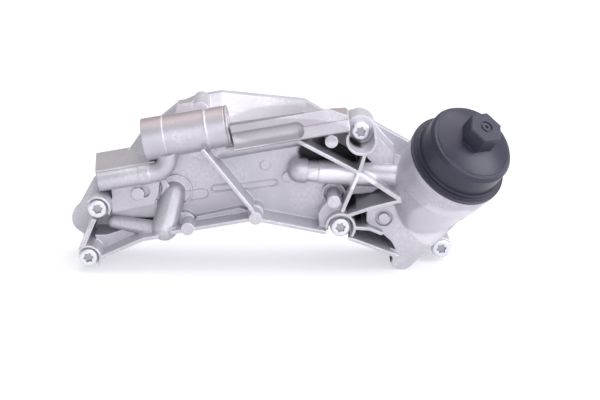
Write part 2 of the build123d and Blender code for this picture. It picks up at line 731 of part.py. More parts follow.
    # Oil gallery pipe with its stepped left end
    gallery_plane = pipe_plane(GALLERY_START, GALLERY_END)
    step_start = 0
    for length, radius in GALLERY_STEPS:
        with BuildSketch(gallery_plane.offset(step_start)):
            Circle(radius)
        extrude(amount=length)
        step_start += length
    with Locations(spot(*GALLERY_START)):
        Sphere(GALLERY_STEPS[0][1])
    with BuildSketch(level(FLANGE_THICK)):
        rib(GALLERY_START[:2], GALLERY_END[:2], 2 * GALLERY_STEPS[1][1] - WALL)
    extrude(amount=GALLERY_START[2] - FLANGE_THICK)
    with BuildSketch(level(FLANGE_THICK)):
        rib(*GALLERY_NUB, GALLERY_NUB_WIDTH)
    extrude(amount=GALLERY_NUB_DEPTH - FLANGE_THICK)

    # Filter bowl
    with BuildSketch(BOWL_PROFILE):
        with BuildLine():
            Polyline(
                (0, BOWL_TOP),
                (BOWL_RIM_R, BOWL_TOP),
                (BOWL_RIM_R, BOWL_TOP - BOWL_RIM_BAND),
                (BOWL_SHOULDER_R + BOWL_SHOULDER_STEP, -BOWL_SHOULDER_DROP),
                (BOWL_SHOULDER_R, -BOWL_SHOULDER_DROP - BOWL_SHOULDER_STEP),
                (BOWL_WAIST_R, -BOWL_WAIST_DROP),
                (BOWL_FOOT_R, BOWL_FOOT_ROUND - BOWL_DEPTH),
                (BOWL_FOOT_R - BOWL_FOOT_ROUND, -BOWL_DEPTH),
                (0, -BOWL_DEPTH),
                close=True,
            )
        make_face()
    revolve(axis=BOWL_LINE)

    # Drain lobe and the skirt that joins it to the bowl
    with BuildSketch(level(FLANGE_THICK)):
        with Locations(LOBE):
            Circle(LOBE_R)
        Polygon(*SKIRT, align=None)
    extrude(amount=LOBE_DEPTH - FLANGE_THICK)

    # Boss in a round recess beside the bowl, and the pocket below
    with BuildSketch(level(SIDE_RECESS_DEPTH)):
        with Locations(SIDE_BOSS):
            Circle(SIDE_RECESS_R)
            Circle(SIDE_BOSS_R, mode=Mode.SUBTRACT)
    extrude(amount=RIB_DEPTH - SIDE_RECESS_DEPTH, mode=Mode.SUBTRACT)
    with BuildSketch(level(SIDE_RECESS_DEPTH)):
        with Locations(SIDE_BOSS):
            Circle(SIDE_BOSS_R)
    extrude(amount=SIDE_BOSS_TOP - SIDE_RECESS_DEPTH)
    with BuildSketch(level(LOWER_POCKET_DEPTH)):
        Polygon(*LOWER_POCKET, align=None)
    extrude(amount=RIB_DEPTH, mode=Mode.SUBTRACT)

    # Chamber cavity, open at the mounting face
    with BuildSketch(level(0)):
        chamber_face(ROOF_RISE, CHAMBER_INSET)
    with BuildSketch(level(CAVITY_DEPTH)):
        chamber_face(FLOOR_CROWN, CHAMBER_INSET)
    loft(mode=Mode.SUBTRACT)

    # Tube bore
    with BuildSketch(slice_at(TUBE_LEFT + TUBE_BORE_LENGTH)):
        with Locations((TUBE_DEPTH, TUBE_HEIGHT)):
            Circle(TUBE_BORE_R)
    extrude(amount=TUBE_BORE_LENGTH, mode=Mode.SUBTRACT)

    # Bowl bore
    with BuildSketch(BOWL_PROFILE):
        with BuildLine():
            Polyline(
                (0, 0),
                (BOWL_MOUTH_R, 0),
                (BOWL_MOUTH_R, -BOWL_MOUTH_DEPTH),
                (BOWL_BORE_TOP_R, -BOWL_MOUTH_DEPTH - BOWL_BORE_STEP),
                (BOWL_BORE_R, -BOWL_FLOOR_DROP),
                (0, -BOWL_FLOOR_DROP),
                close=True,
            )
        make_face()
    revolve(axis=BOWL_LINE, mode=Mode.SUBTRACT)

    # Pads that carry the cooler, with their screw holes, ports and seal grooves
    with BuildSketch(level(COOLER_SEAT)):
        with Locations(*COOLER_SCREWS):
            Circle(COOLER_EAR / 2)
        with Locations(*COOLER_PORTS):
            Circle(COOLER_SEAL_OUTER_R + COOLER_PAD_MARGIN)
    extrude(amount=COOLER_STANDOFF + WALL / 2)
    with BuildSketch(level(COOLER_SEAT)):
        with Locations(*COOLER_SCREWS):
            Circle(COOLER_SCREW_R)
        with Locations(*COOLER_PORTS):
            Circle(COOLER_PORT_R)
    extrude(amount=COOLER_SCREW_LENGTH, mode=Mode.SUBTRACT)
    with BuildSketch(level(COOLER_SEAT)):
        with Locations(*COOLER_PORTS):
            Circle(COOLER_SEAL_OUTER_R)
            Circle(COOLER_SEAL_INNER_R, mode=Mode.SUBTRACT)
    extrude(amount=COOLER_SEAL_DEPTH, mode=Mode.SUBTRACT)

    # Seal grooves and oil ports in the mounting face
    with BuildSketch(level(0)):
        chamber_face(ROOF_RISE, GASKET_INSET)
        chamber_face(ROOF_RISE, GASKET_INSET + GASKET_WIDTH, mode=Mode.SUBTRACT)
        with Locations(*PORT_PLACES):
            Circle(PORT_SEAL_OUTER_R)
            Circle(PORT_SEAL_INNER_R, mode=Mode.SUBTRACT)
    extrude(amount=GROOVE_DEPTH, mode=Mode.SUBTRACT)
    with BuildSketch(level(0)):
        with Locations(*PORT_PLACES):
            Circle(PORT_R)
    extrude(amount=PORT_DEPTH, mode=Mode.SUBTRACT)

    # Standpipe seat, drain hole and oil inlets in the bowl's floor
    with BuildSketch(bowl_level(-BOWL_FLOOR_DROP)):
        Circle(STANDPIPE_R)
        with PolarLocations((STANDPIPE_R + CHECK_R) / 2, INLET_COUNT, start_angle=180 / INLET_COUNT):
            Circle(INLET_R)
    extrude(amount=-STANDPIPE_SEAT, mode=Mode.SUBTRACT)
    with BuildSketch(bowl_level(-BOWL_FLOOR_DROP)):
        with Locations((0, PIN_OFFSET)):
            Circle(DRAIN_HOLE_R)
    extrude(amount=-DRAIN_HOLE_DEPTH, mode=Mode.SUBTRACT)

    # Bolt holes, and the seats round the heads
    with BuildSketch(level(0)):
        with Locations(*LONG_BOLT_PLACES, *SHORT_BOLT_PLACES):
            Circle(BOLT_THREAD_R + BOLT_HOLE_CLEARANCE)
    extrude(amount=LONG_SEAT_DEPTH, mode=Mode.SUBTRACT)
    with BuildSketch(level(LONG_SEAT_DEPTH)):
        with Locations(*LONG_BOLT_PLACES):
            Circle(BOLT_HEAD_R + BOLT_SEAT_CLEARANCE)
    extrude(amount=RIB_DEPTH, mode=Mode.SUBTRACT)
    with BuildSketch(level(SHORT_SEAT_DEPTH)):
        with Locations(UPPER_RIGHT_BOLT):
            Circle(CUP_R)
        with Locations(LOWER_RIGHT_BOLT):
            Circle(BOLT_HEAD_R + BOLT_SEAT_CLEARANCE)
    extrude(amount=RIB_DEPTH, mode=Mode.SUBTRACT)
    with BuildSketch(level(CUP_RELIEF_DEPTH)):
        with Locations(CENTRE_BOLT):
            Circle(CUP_R)
            Circle(CORNER_BOSS_R, mode=Mode.SUBTRACT)
    extrude(amount=RIB_DEPTH, mode=Mode.SUBTRACT)

housing.part.label = "housing"
export_step(housing.part, "parts/housing.step")


def bolt_group(places, seat_depth):
    """Identical pan-head bolts with six-lobe recesses, their threaded ends standing out of the back."""
    with BuildPart() as bolts:
        with BuildSketch(level(-BOLT_REACH)):
            with Locations(*places):
                Circle(BOLT_THREAD_R)
        extrude(amount=BOLT_REACH)
        chamfer(bolts.edges().group_by(Axis((0, 0, 0), FRONT_AXIS))[0], BOLT_END_CHAMFER)
        with BuildSketch(level(0)):
            with Locations(*places):
                Circle(BOLT_NECK_R)
        extrude(amount=seat_depth)
        with BuildSketch(level(seat_depth)):
            with Locations(*places):
                Circle(BOLT_HEAD_R)
        extrude(amount=BOLT_HEAD_HEIGHT)
        fillet(bolts.edges().group_by(Axis((0, 0, 0), FRONT_AXIS))[-1], BOLT_HEAD_ROUND)
        with BuildSketch(level(seat_depth + BOLT_HEAD_HEIGHT)):
            for place in places:
                with Locations(place):
                    Circle(TORX_LOBE_OFFSET)
                    with PolarLocations(TORX_LOBE_OFFSET, 6):
                        Circle(TORX_LOBE_R)
        extrude(amount=-TORX_DEPTH, mode=Mode.SUBTRACT)
    return bolts.part


long_bolts = bolt_group(LONG_BOLT_PLACES, LONG_SEAT_DEPTH)
long_bolts.label = "long_bolts"
export_step(long_bolts, "parts/long_bolts.step")

short_bolts = bolt_group(SHORT_BOLT_PLACES, SHORT_SEAT_DEPTH)
short_bolts.label = "short_bolts"
export_step(short_bolts, "parts/short_bolts.step")


# Profile gasket round the cooler chamber
with BuildPart() as flange_gasket:
    with BuildSketch(level(-GASKET_PROUD)):
        chamber_face(ROOF_RISE, GASKET_INSET + SEAL_SIDE_GAP)
        chamber_face(ROOF_RISE, GASKET_INSET + GASKET_WIDTH - SEAL_SIDE_GAP, mode=Mode.SUBTRACT)
    extrude(amount=GASKET_PROUD + GROOVE_DEPTH)

flange_gasket.part.label = "flange_gasket"
export_step(flange_gasket.part, "parts/flange_gasket.step")


# Seal rings round the oil ports
with BuildPart() as oil_port_seals:
    with BuildSketch(level(-GASKET_PROUD)):
        with Locations(*PORT_PLACES):
            Circle(PORT_SEAL_OUTER_R - SEAL_SIDE_GAP)
            Circle(PORT_SEAL_INNER_R + SEAL_SIDE_GAP, mode=Mode.SUBTRACT)
    extrude(amount=GASKET_PROUD + GROOVE_DEPTH)

oil_port_seals.part.label = "oil_port_seals"
export_step(oil_port_seals.part, "parts/oil_port_seals.step")


# Brazed stack-plate oil cooler
STACK_LENGTH = COOLER_RIGHT - COOLER_LEFT - 2 * COOLER_EAR
STACK_HEIGHT = COOLER_TOP - COOLER_BOTTOM - 2 * COOLER_PLATE_MARGIN
with BuildPart() as oil_cooler:
    with BuildSketch(level(COOLER_SEAT)):
        with Locations(COOLER_MIDDLE):
            RectangleRounded(
                COOLER_RIGHT - COOLER_LEFT, COOLER_TOP - COOLER_BOTTOM, COOLER_BASE_CORNER_R
            )
        with Locations(*COOLER_SCREWS):
            Circle(COOLER_SCREW_R + SEAL_SIDE_GAP, mode=Mode.SUBTRACT)
        with Locations(*COOLER_PORTS):
            Circle(COOLER_PORT_R, mode=Mode.SUBTRACT)
    extrude(amount=-COOLER_BASE_THICK)
    for plate in range(COOLER_PLATES):
        plate_front = COOLER_SEAT - COOLER_BASE_THICK - plate * COOLER_PLATE_PITCH
        seam_front = plate_front - COOLER_PLATE_PITCH * COOLER_PLATE_SHARE
        with BuildSketch(level(plate_front)):
            with Locations(COOLER_MIDDLE):
                RectangleRounded(STACK_LENGTH, STACK_HEIGHT, COOLER_PLATE_CORNER_R)
        extrude(amount=-COOLER_PLATE_PITCH * COOLER_PLATE_SHARE)
        with BuildSketch(level(seam_front)):
            with Locations(COOLER_MIDDLE):
                RectangleRounded(
                    STACK_LENGTH - 2 * COOLER_SEAM_STEP,
                    STACK_HEIGHT - 2 * COOLER_SEAM_STEP,
                    COOLER_PLATE_CORNER_R - COOLER_SEAM_STEP,
                )
        extrude(amount=-COOLER_PLATE_PITCH * (1 - COOLER_PLATE_SHARE))

oil_cooler.part.label = "oil_cooler"
export_step(oil_cooler.part, "parts/oil_cooler.step")


# Seal rings between the cooler and its port pads
with BuildPart() as cooler_port_seals:
    with BuildSketch(level(COOLER_SEAT)):
        with Locations(*COOLER_PORTS):
            Circle(COOLER_SEAL_OUTER_R - SEAL_SIDE_GAP)
            Circle(COOLER_SEAL_INNER_R + SEAL_SIDE_GAP, mode=Mode.SUBTRACT)
    extrude(amount=COOLER_SEAL_DEPTH)

cooler_port_seals.part.label = "cooler_port_seals"
export_step(cooler_port_seals.part, "parts/cooler_port_seals.step")


# Screws that hold the cooler to its pads
SCREW_SEAT = COOLER_SEAT - COOLER_BASE_THICK
with BuildPart() as cooler_screws:
    with BuildSketch(level(SCREW_SEAT)):
        with Locations(*COOLER_SCREWS):
            Circle(COOLER_SCREW_R)
    extrude(amount=COOLER_BASE_THICK + COOLER_SCREW_LENGTH - COOLER_SCREW_END_GAP)
    with BuildSketch(level(SCREW_SEAT)):
        with Locations(*COOLER_SCREWS):
            Circle(COOLER_SCREW_HEAD_R)
    extrude(amount=-COOLER_SCREW_HEAD)
    with BuildSketch(level(SCREW_SEAT - COOLER_SCREW_HEAD)):
        with Locations(*COOLER_SCREWS):
            RegularPolygon(COOLER_SOCKET_R, 6)
    extrude(amount=COOLER_SOCKET_DEPTH, mode=Mode.SUBTRACT)

cooler_screws.part.label = "cooler_screws"
export_step(cooler_screws.part, "parts/cooler_screws.step")


# Filter cap with its hexagon
CAP_GROOVE_R = BOWL_MOUTH_R - CLEARANCE - 2 * CAP_SEAL_R
CAP_GROOVE_TOP = -CAP_SEAL_DROP + CAP_SEAL_R + SEAL_SIDE_GAP
CAP_GROOVE_BOTTOM = -CAP_SEAL_DROP - CAP_SEAL_R - SEAL_SIDE_GAP
CAP_INNER_R = CAP_SKIRT_R - CAP_WALL
CAP_EDGE_R = CAP_BODY_R - CLEARANCE
CAP_DOME_R = CAP_EDGE_R - CAP_LIP
with BuildPart() as filter_cap:
    with BuildSketch(BOWL_PROFILE):
        with BuildLine():
            Polyline(
                (0, CAP_CEILING),
                (CAP_INNER_R - CAP_CEILING_ROUND, CAP_CEILING),
                (CAP_INNER_R, CAP_CEILING - CAP_CEILING_ROUND),
                (CAP_INNER_R, -CAP_SKIRT_LENGTH),
                (CAP_SKIRT_R, -CAP_SKIRT_LENGTH),
                (CAP_SKIRT_R, -CAP_FLANGE_DROP),
                (CAP_FLANGE_R, -CAP_FLANGE_DROP),
                (CAP_FLANGE_R, CAP_FLANGE_TOP),
                (CAP_RING_R, CAP_FLANGE_TOP + CLEARANCE),
                (CAP_RING_R, CAP_RING_TOP),
                (CAP_RING_R - CAP_LINE_WIDTH, CAP_RING_TOP),
                (CAP_RING_R - CAP_LINE_WIDTH, CAP_RING_TOP + CAP_LINE_WIDTH),
                (CAP_UPPER_RING_R, CAP_RING_TOP + CAP_LINE_WIDTH),
                (CAP_UPPER_RING_R, CAP_UPPER_RING_TOP),
                (CAP_BODY_R + CAP_LINE_WIDTH, CAP_UPPER_RING_TOP),
                (CAP_BODY_R, CAP_UPPER_RING_TOP + 2 * CAP_LINE_WIDTH),
                (CAP_EDGE_R, CAP_SHOULDER),
                (CAP_EDGE_R - CAP_LIP / 2, CAP_SHOULDER + CAP_SHOULDER_ROUND),
                (CAP_DOME_R, CAP_SHOULDER + CAP_SHOULDER_ROUND),
                (CAP_DOME_R - CAP_LINE_WIDTH, CAP_SHOULDER + CAP_SHOULDER_ROUND + CAP_LINE_WIDTH),
            )
            ThreePointArc(
                (CAP_DOME_R - CAP_LINE_WIDTH, CAP_SHOULDER + CAP_SHOULDER_ROUND + CAP_LINE_WIDTH),
                (CAP_DOME_R / 2, CAP_DOME_TOP - CAP_LINE_WIDTH * 2),
                (0, CAP_DOME_TOP),
            )
            Line((0, CAP_DOME_TOP), (0, CAP_CEILING))
        make_face()
    revolve(axis=BOWL_LINE)
    with BuildSketch(bowl_level(CAP_HEX_FOOT)):
        RegularPolygon(CAP_HEX_FLATS / 2, 6, major_radius=False, rotation=CAP_HEX_TURN)
    extrude(amount=CAP_HEX_TOP - CAP_HEX_FOOT)
    chamfer(filter_cap.edges().group_by(BOWL_LINE)[-1], CAP_HEX_CHAMFER)
    with BuildSketch(bowl_level(CAP_HEX_TOP)):
        Circle(CAP_RECESS_R)
        Circle(CAP_RECESS_BOSS_R, mode=Mode.SUBTRACT)
        Circle(CAP_DIMPLE_R)
    extrude(amount=-CAP_RECESS_DEPTH, mode=Mode.SUBTRACT)
    with BuildSketch(BOWL_PROFILE):
        with BuildLine():
            Polyline(
                (CAP_GROOVE_R, CAP_GROOVE_TOP), (BOWL_MOUTH_R, CAP_GROOVE_TOP),
                (BOWL_MOUTH_R, CAP_GROOVE_BOTTOM), (CAP_GROOVE_R, CAP_GROOVE_BOTTOM),
                close=True,
            )
        make_face()
    revolve(axis=BOWL_LINE, mode=Mode.SUBTRACT)

filter_cap.part.label = "filter_cap"
export_step(filter_cap.part, "parts/filter_cap.step")


# Ring seal in the cap's groove
with BuildPart() as cap_seal:
    with BuildSketch(BOWL_PROFILE):
        with Locations((BOWL_MOUTH_R - CLEARANCE - CAP_SEAL_R, -CAP_SEAL_DROP)):
            Circle(CAP_SEAL_R)
    revolve(axis=BOWL_LINE)

cap_seal.part.label = "cap_seal"
export_step(cap_seal.part, "parts/cap_seal.step")


# Pleated filter paper
PAPER_BOTTOM = ELEMENT_BOTTOM + DISC_THICK
PAPER_TOP = ELEMENT_TOP - DISC_THICK
CORE_R = ELEMENT_R - PLEAT_DEPTH
with BuildPart() as filter_paper:
    with BuildSketch(bowl_level(PAPER_BOTTOM)):
        Circle(CORE_R + PAPER_THICK)
        Circle(CORE_R, mode=Mode.SUBTRACT)
        with PolarLocations((CORE_R + ELEMENT_R) / 2, PLEAT_COUNT):
            Rectangle(PLEAT_DEPTH - 2 * PLEAT_END_GAP, PAPER_THICK)
    extrude(amount=PAPER_TOP - PAPER_BOTTOM)

filter_paper.part.label = "filter_paper"
export_step(filter_paper.part, "parts/filter_paper.step")


# Perforated support tube inside the paper
with BuildPart() as element_core:
    with BuildSketch(bowl_level(PAPER_BOTTOM)):
        Circle(CORE_R)
        Circle(CORE_R - CORE_WALL, mode=Mode.SUBTRACT)
    extrude(amount=PAPER_TOP - PAPER_BOTTOM)
    for row in range(CORE_WINDOW_ROWS):
        row_foot = PAPER_BOTTOM + CORE_WINDOW + row * CORE_WINDOW_PITCH
        with BuildSketch(bowl_level(row_foot)):
            with PolarLocations(0, 4, start_angle=45 * (row % 2)):
                with Locations((CORE_R, 0)):
                    Rectangle(CORE_WINDOW, CORE_WINDOW)
        extrude(amount=CORE_WINDOW, mode=Mode.SUBTRACT)

element_core.part.label = "element_core"
export_step(element_core.part, "parts/element_core.step")


# Upper end disc
DISC_HOLE_R = CAGE_R + CLEARANCE
with BuildPart() as upper_end_disc:
    with BuildSketch(bowl_level(ELEMENT_TOP - DISC_THICK)):
        Circle(ELEMENT_R + DISC_OVERHANG)
        Circle(DISC_HOLE_R, mode=Mode.SUBTRACT)
    extrude(amount=DISC_THICK)
    with BuildSketch(bowl_level(ELEMENT_TOP)):
        Circle(DISC_HOLE_R + DISC_COLLAR_WALL)
        Circle(DISC_HOLE_R, mode=Mode.SUBTRACT)
    extrude(amount=DISC_COLLAR_HEIGHT)

upper_end_disc.part.label = "upper_end_disc"
export_step(upper_end_disc.part, "parts/upper_end_disc.step")


# Lower end disc with its drain pin
with BuildPart() as lower_end_disc:
    with BuildSketch(bowl_level(ELEMENT_BOTTOM)):
        Circle(ELEMENT_R + DISC_OVERHANG)
        Circle(STANDPIPE_R + CLEARANCE, mode=Mode.SUBTRACT)
    extrude(amount=DISC_THICK)
    with BuildSketch(bowl_level(ELEMENT_BOTTOM)):
        with Locations((0, PIN_OFFSET)):
            Circle(PIN_R)
    extrude(amount=-(BOWL_FLOOR_DROP + ELEMENT_BOTTOM + PIN_ENTRY))
    with BuildSketch(bowl_level(-BOWL_FLOOR_DROP - PIN_GROOVE_DROP)):
        with Locations((0, PIN_OFFSET)):
            Circle(PIN_R + 1)
            Circle(PIN_R - PIN_GROOVE_DEPTH, mode=Mode.SUBTRACT)
    extrude(amount=-PIN_GROOVE_WIDTH, mode=Mode.SUBTRACT)

lower_end_disc.part.label = "lower_end_disc"
export_step(lower_end_disc.part, "parts/lower_end_disc.step")


# Seal ring on the drain pin
PIN_SEAL_TOP = -BOWL_FLOOR_DROP - PIN_GROOVE_DROP - (PIN_GROOVE_WIDTH - PIN_SEAL_THICK) / 2
with BuildPart() as drain_pin_seal:
    with BuildSketch(bowl_level(PIN_SEAL_TOP)):
        with Locations((0, PIN_OFFSET)):
            Circle(DRAIN_HOLE_R - CLEARANCE)
            Circle(PIN_R - PIN_GROOVE_DEPTH, mode=Mode.SUBTRACT)
    extrude(amount=-PIN_SEAL_THICK)

drain_pin_seal.part.label = "drain_pin_seal"
export_step(drain_pin_seal.part, "parts/drain_pin_seal.step")


# Standpipe with its oil windows
with BuildPart() as standpipe:
    with BuildSketch(bowl_level(-BOWL_FLOOR_DROP - STANDPIPE_SEAT)):
        Circle(STANDPIPE_R)
        Circle(STANDPIPE_R - STANDPIPE_WALL, mode=Mode.SUBTRACT)
    extrude(amount=STANDPIPE_TOP + BOWL_FLOOR_DROP + STANDPIPE_SEAT)
    for row in range(STANDPIPE_WINDOW_ROWS):
        with BuildSketch(bowl_level(STANDPIPE_FIRST_WINDOW + row * STANDPIPE_WINDOW_PITCH)):
            Rectangle(2 * CHECK_R, STANDPIPE_WINDOW_WIDTH)
            Rectangle(STANDPIPE_WINDOW_WIDTH, 2 * CHECK_R)
        extrude(amount=STANDPIPE_WINDOW_HEIGHT, mode=Mode.SUBTRACT)

standpipe.part.label = "standpipe"
export_step(standpipe.part, "parts/standpipe.step")


# Rubber return check valve over the oil inlets
with BuildPart() as return_check_valve:
    with BuildSketch(bowl_level(-BOWL_FLOOR_DROP)):
        Circle(CHECK_R)
        Circle(STANDPIPE_R, mode=Mode.SUBTRACT)
    extrude(amount=CHECK_THICK)
    with BuildSketch(bowl_level(-BOWL_FLOOR_DROP + CHECK_THICK)):
        Circle(STANDPIPE_R + CHECK_LIP_WALL)
        Circle(STANDPIPE_R, mode=Mode.SUBTRACT)
    extrude(amount=CHECK_LIP_HEIGHT)

return_check_valve.part.label = "return_check_valve"
export_step(return_check_valve.part, "parts/return_check_valve.step")


# Cage of the bypass valve, hanging from the cap's ceiling
with BuildPart() as bypass_cage:
    with BuildSketch(bowl_level(CAGE_BOTTOM)):
        Circle(CAGE_R)
        Circle(CAGE_R - CAGE_WALL, mode=Mode.SUBTRACT)
    extrude(amount=CAP_CEILING - CAGE_BOTTOM)
    with BuildSketch(bowl_level(SEAT_TOP)):
        Circle(CAGE_R - CAGE_WALL / 2)
        Circle(SEAT_HOLE_R, mode=Mode.SUBTRACT)
    extrude(amount=-SEAT_THICK)
    with BuildSketch(bowl_level(CAGE_BOTTOM)):
        Rectangle(2 * CAGE_R - CAGE_WALL, BRIDGE_WIDTH)
        Rectangle(BRIDGE_WIDTH, 2 * CAGE_R - CAGE_WALL)
        Circle(SPRING_R + BRIDGE_HUB_WALL)
        Circle(STEM_R + CLEARANCE, mode=Mode.SUBTRACT)
    extrude(amount=BRIDGE_THICK)
    with BuildSketch(bowl_level(SEAT_TOP + CAGE_WINDOW_MARGIN)):
        Rectangle(2 * CHECK_R, CAGE_WINDOW_WIDTH)
        Rectangle(CAGE_WINDOW_WIDTH, 2 * CHECK_R)
    extrude(amount=CAP_CEILING - SEAT_TOP - 2 * CAGE_WINDOW_MARGIN, mode=Mode.SUBTRACT)

bypass_cage.part.label = "bypass_cage"
export_step(bypass_cage.part, "parts/bypass_cage.step")


# Bypass poppet below its seat
POPPET_TOP = SEAT_TOP - SEAT_THICK
STEM_TOP = POPPET_TOP - POPPET_THICK
with BuildPart() as bypass_poppet:
    with BuildSketch(bowl_level(POPPET_TOP)):
        Circle(POPPET_R)
    extrude(amount=-POPPET_THICK)
    with BuildSketch(bowl_level(STEM_TOP)):
        Circle(STEM_R)
    extrude(amount=CAGE_BOTTOM + STEM_END_GAP - STEM_TOP)

bypass_poppet.part.label = "bypass_poppet"
export_step(bypass_poppet.part, "parts/bypass_poppet.step")


# Spring between the poppet and the cage's bridge
SPRING_BOTTOM = CAGE_BOTTOM + BRIDGE_THICK + SPRING_WIRE_R
SPRING_TOP = STEM_TOP - SPRING_WIRE_R
with BuildPart() as bypass_spring:
    with BuildLine() as spring_path:
        Helix(
            pitch=(SPRING_TOP - SPRING_BOTTOM) / SPRING_TURNS,
            height=SPRING_TOP - SPRING_BOTTOM,
            radius=SPRING_R - SPRING_WIRE_R,
            center=RIM_CENTRE + BOWL_AXIS * SPRING_BOTTOM,
            direction=BOWL_AXIS,
        )
    with BuildSketch(Plane(origin=spring_path.line @ 0, z_dir=spring_path.line % 0)):
        Circle(SPRING_WIRE_R)
    sweep(path=spring_path.line, is_frenet=True)

bypass_spring.part.label = "bypass_spring"
export_step(bypass_spring.part, "parts/bypass_spring.step")
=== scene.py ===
"""Looks for the oil filter housing: finishes, small cast details, floor, light and camera."""

import json
import logging
import math
from dataclasses import dataclass, replace
from enum import Enum
from typing import Optional

import bpy
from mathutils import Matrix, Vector

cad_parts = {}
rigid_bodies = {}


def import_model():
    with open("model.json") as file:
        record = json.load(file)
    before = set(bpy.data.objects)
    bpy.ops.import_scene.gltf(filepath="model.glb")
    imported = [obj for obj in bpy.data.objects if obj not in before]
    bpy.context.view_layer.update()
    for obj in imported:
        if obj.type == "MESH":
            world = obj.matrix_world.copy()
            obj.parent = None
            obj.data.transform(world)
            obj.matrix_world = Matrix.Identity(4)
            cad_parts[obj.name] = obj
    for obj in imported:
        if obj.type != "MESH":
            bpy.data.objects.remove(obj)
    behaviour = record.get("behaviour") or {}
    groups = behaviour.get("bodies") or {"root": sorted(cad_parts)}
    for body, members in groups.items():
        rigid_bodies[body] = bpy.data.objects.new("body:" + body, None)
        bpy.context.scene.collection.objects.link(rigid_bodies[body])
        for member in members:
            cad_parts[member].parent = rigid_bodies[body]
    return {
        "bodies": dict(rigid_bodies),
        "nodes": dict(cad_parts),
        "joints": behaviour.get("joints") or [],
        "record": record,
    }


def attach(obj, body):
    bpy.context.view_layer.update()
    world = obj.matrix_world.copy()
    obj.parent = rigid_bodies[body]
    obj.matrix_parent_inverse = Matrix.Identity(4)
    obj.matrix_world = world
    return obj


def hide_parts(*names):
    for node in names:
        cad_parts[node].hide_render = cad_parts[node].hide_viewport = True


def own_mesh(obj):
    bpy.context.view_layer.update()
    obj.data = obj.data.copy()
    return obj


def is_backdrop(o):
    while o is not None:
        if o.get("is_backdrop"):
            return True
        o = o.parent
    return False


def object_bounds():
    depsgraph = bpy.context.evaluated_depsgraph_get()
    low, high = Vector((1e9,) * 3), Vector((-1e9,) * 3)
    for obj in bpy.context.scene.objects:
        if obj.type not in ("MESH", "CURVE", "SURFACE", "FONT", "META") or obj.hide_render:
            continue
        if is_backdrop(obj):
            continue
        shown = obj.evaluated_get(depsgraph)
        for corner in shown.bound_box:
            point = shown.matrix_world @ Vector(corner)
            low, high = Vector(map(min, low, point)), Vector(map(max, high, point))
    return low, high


LOG = logging.getLogger("oil_filter_housing")
MM = 0.001
Rgb = tuple[float, float, float]

# Casting coordinates: its long side rises to the right
CASTING_RISE = math.radians(10.0)
CASTING_ORIGIN = Vector((-4.67 * MM, 0.0, -22.15 * MM))
CASTING_ALONG = (math.cos(CASTING_RISE), 0.0, math.sin(CASTING_RISE))
CASTING_UP = (-math.sin(CASTING_RISE), 0.0, math.cos(CASTING_RISE))

# Painted warm shade: on upward faces of the casting's upper part; further back only on level tops, and off
# the hood
TOP_SHADE_FOOT = 47 * MM
TOP_SHADE_HEAD = 57 * MM
TOP_SHADE_HOOD = 85 * MM
TOP_SHADE_HOOD_FULL = 100 * MM
TOP_SHADE_FRONT = -48 * MM
TOP_SHADE_BACK = -43 * MM
TOP_SHADE_TINT = (0.40, 0.335, 0.34)

# Zones: soft at the ellipse's rim, ended in front of the rear face, and off what faces the rear
ZONE_RIM = (1.15, 0.85)
ZONE_END = -12 * MM
ZONE_FADE = 4 * MM
ZONE_FACING = (0.3, 0.6)

# Bolt heads: tops in front of the rear face, and the six-lobe recess below them, which takes painted shade
SHORT_BOLTS = ("bolt_upper_right", "bolt_lower_right")
SHORT_HEAD_TOP = 41.5 * MM
LONG_HEAD_TOP = 69.0 * MM
RECESS_R = 5.0 * MM
RECESS_START = 0.5 * MM
RECESS_FULL = 1.5 * MM

# The floor lies this far below the lowest point
FLOOR_GAP = 0.2 * MM


def clear_selection() -> None:
    """Deselects every object."""
    bpy.ops.object.select_all(action="DESELECT")


def colour(red: float, green: float, blue: float) -> tuple[float, float, float, float]:
    """Gives a colour with full alpha."""
    return (red, green, blue, 1.0)


def casting_point(along: float, up: float, height: float) -> Vector:
    """Turns casting coordinates into the object's frame.

    Args:
        along: metres along the casting's long side.
        up: metres across it.
        height: metres in front of the rear face.

    Returns:
        The point in the object's frame.
    """
    in_face = Vector(CASTING_ALONG) * along + Vector(CASTING_UP) * up
    return CASTING_ORIGIN + in_face + Vector((0.0, -height, 0.0))


class Slot(Enum):
    """Material slots of the record."""

    CASTING = "cast_aluminium"
    CAP = "cap_plastic"
    STEEL = "zinc_steel"
    RUBBER = "seal_rubber"
    COOLER = "cooler_plates"
    INSERT = "element_plastic"
    PAPER = "filter_paper"
    SPRING = "spring_steel"


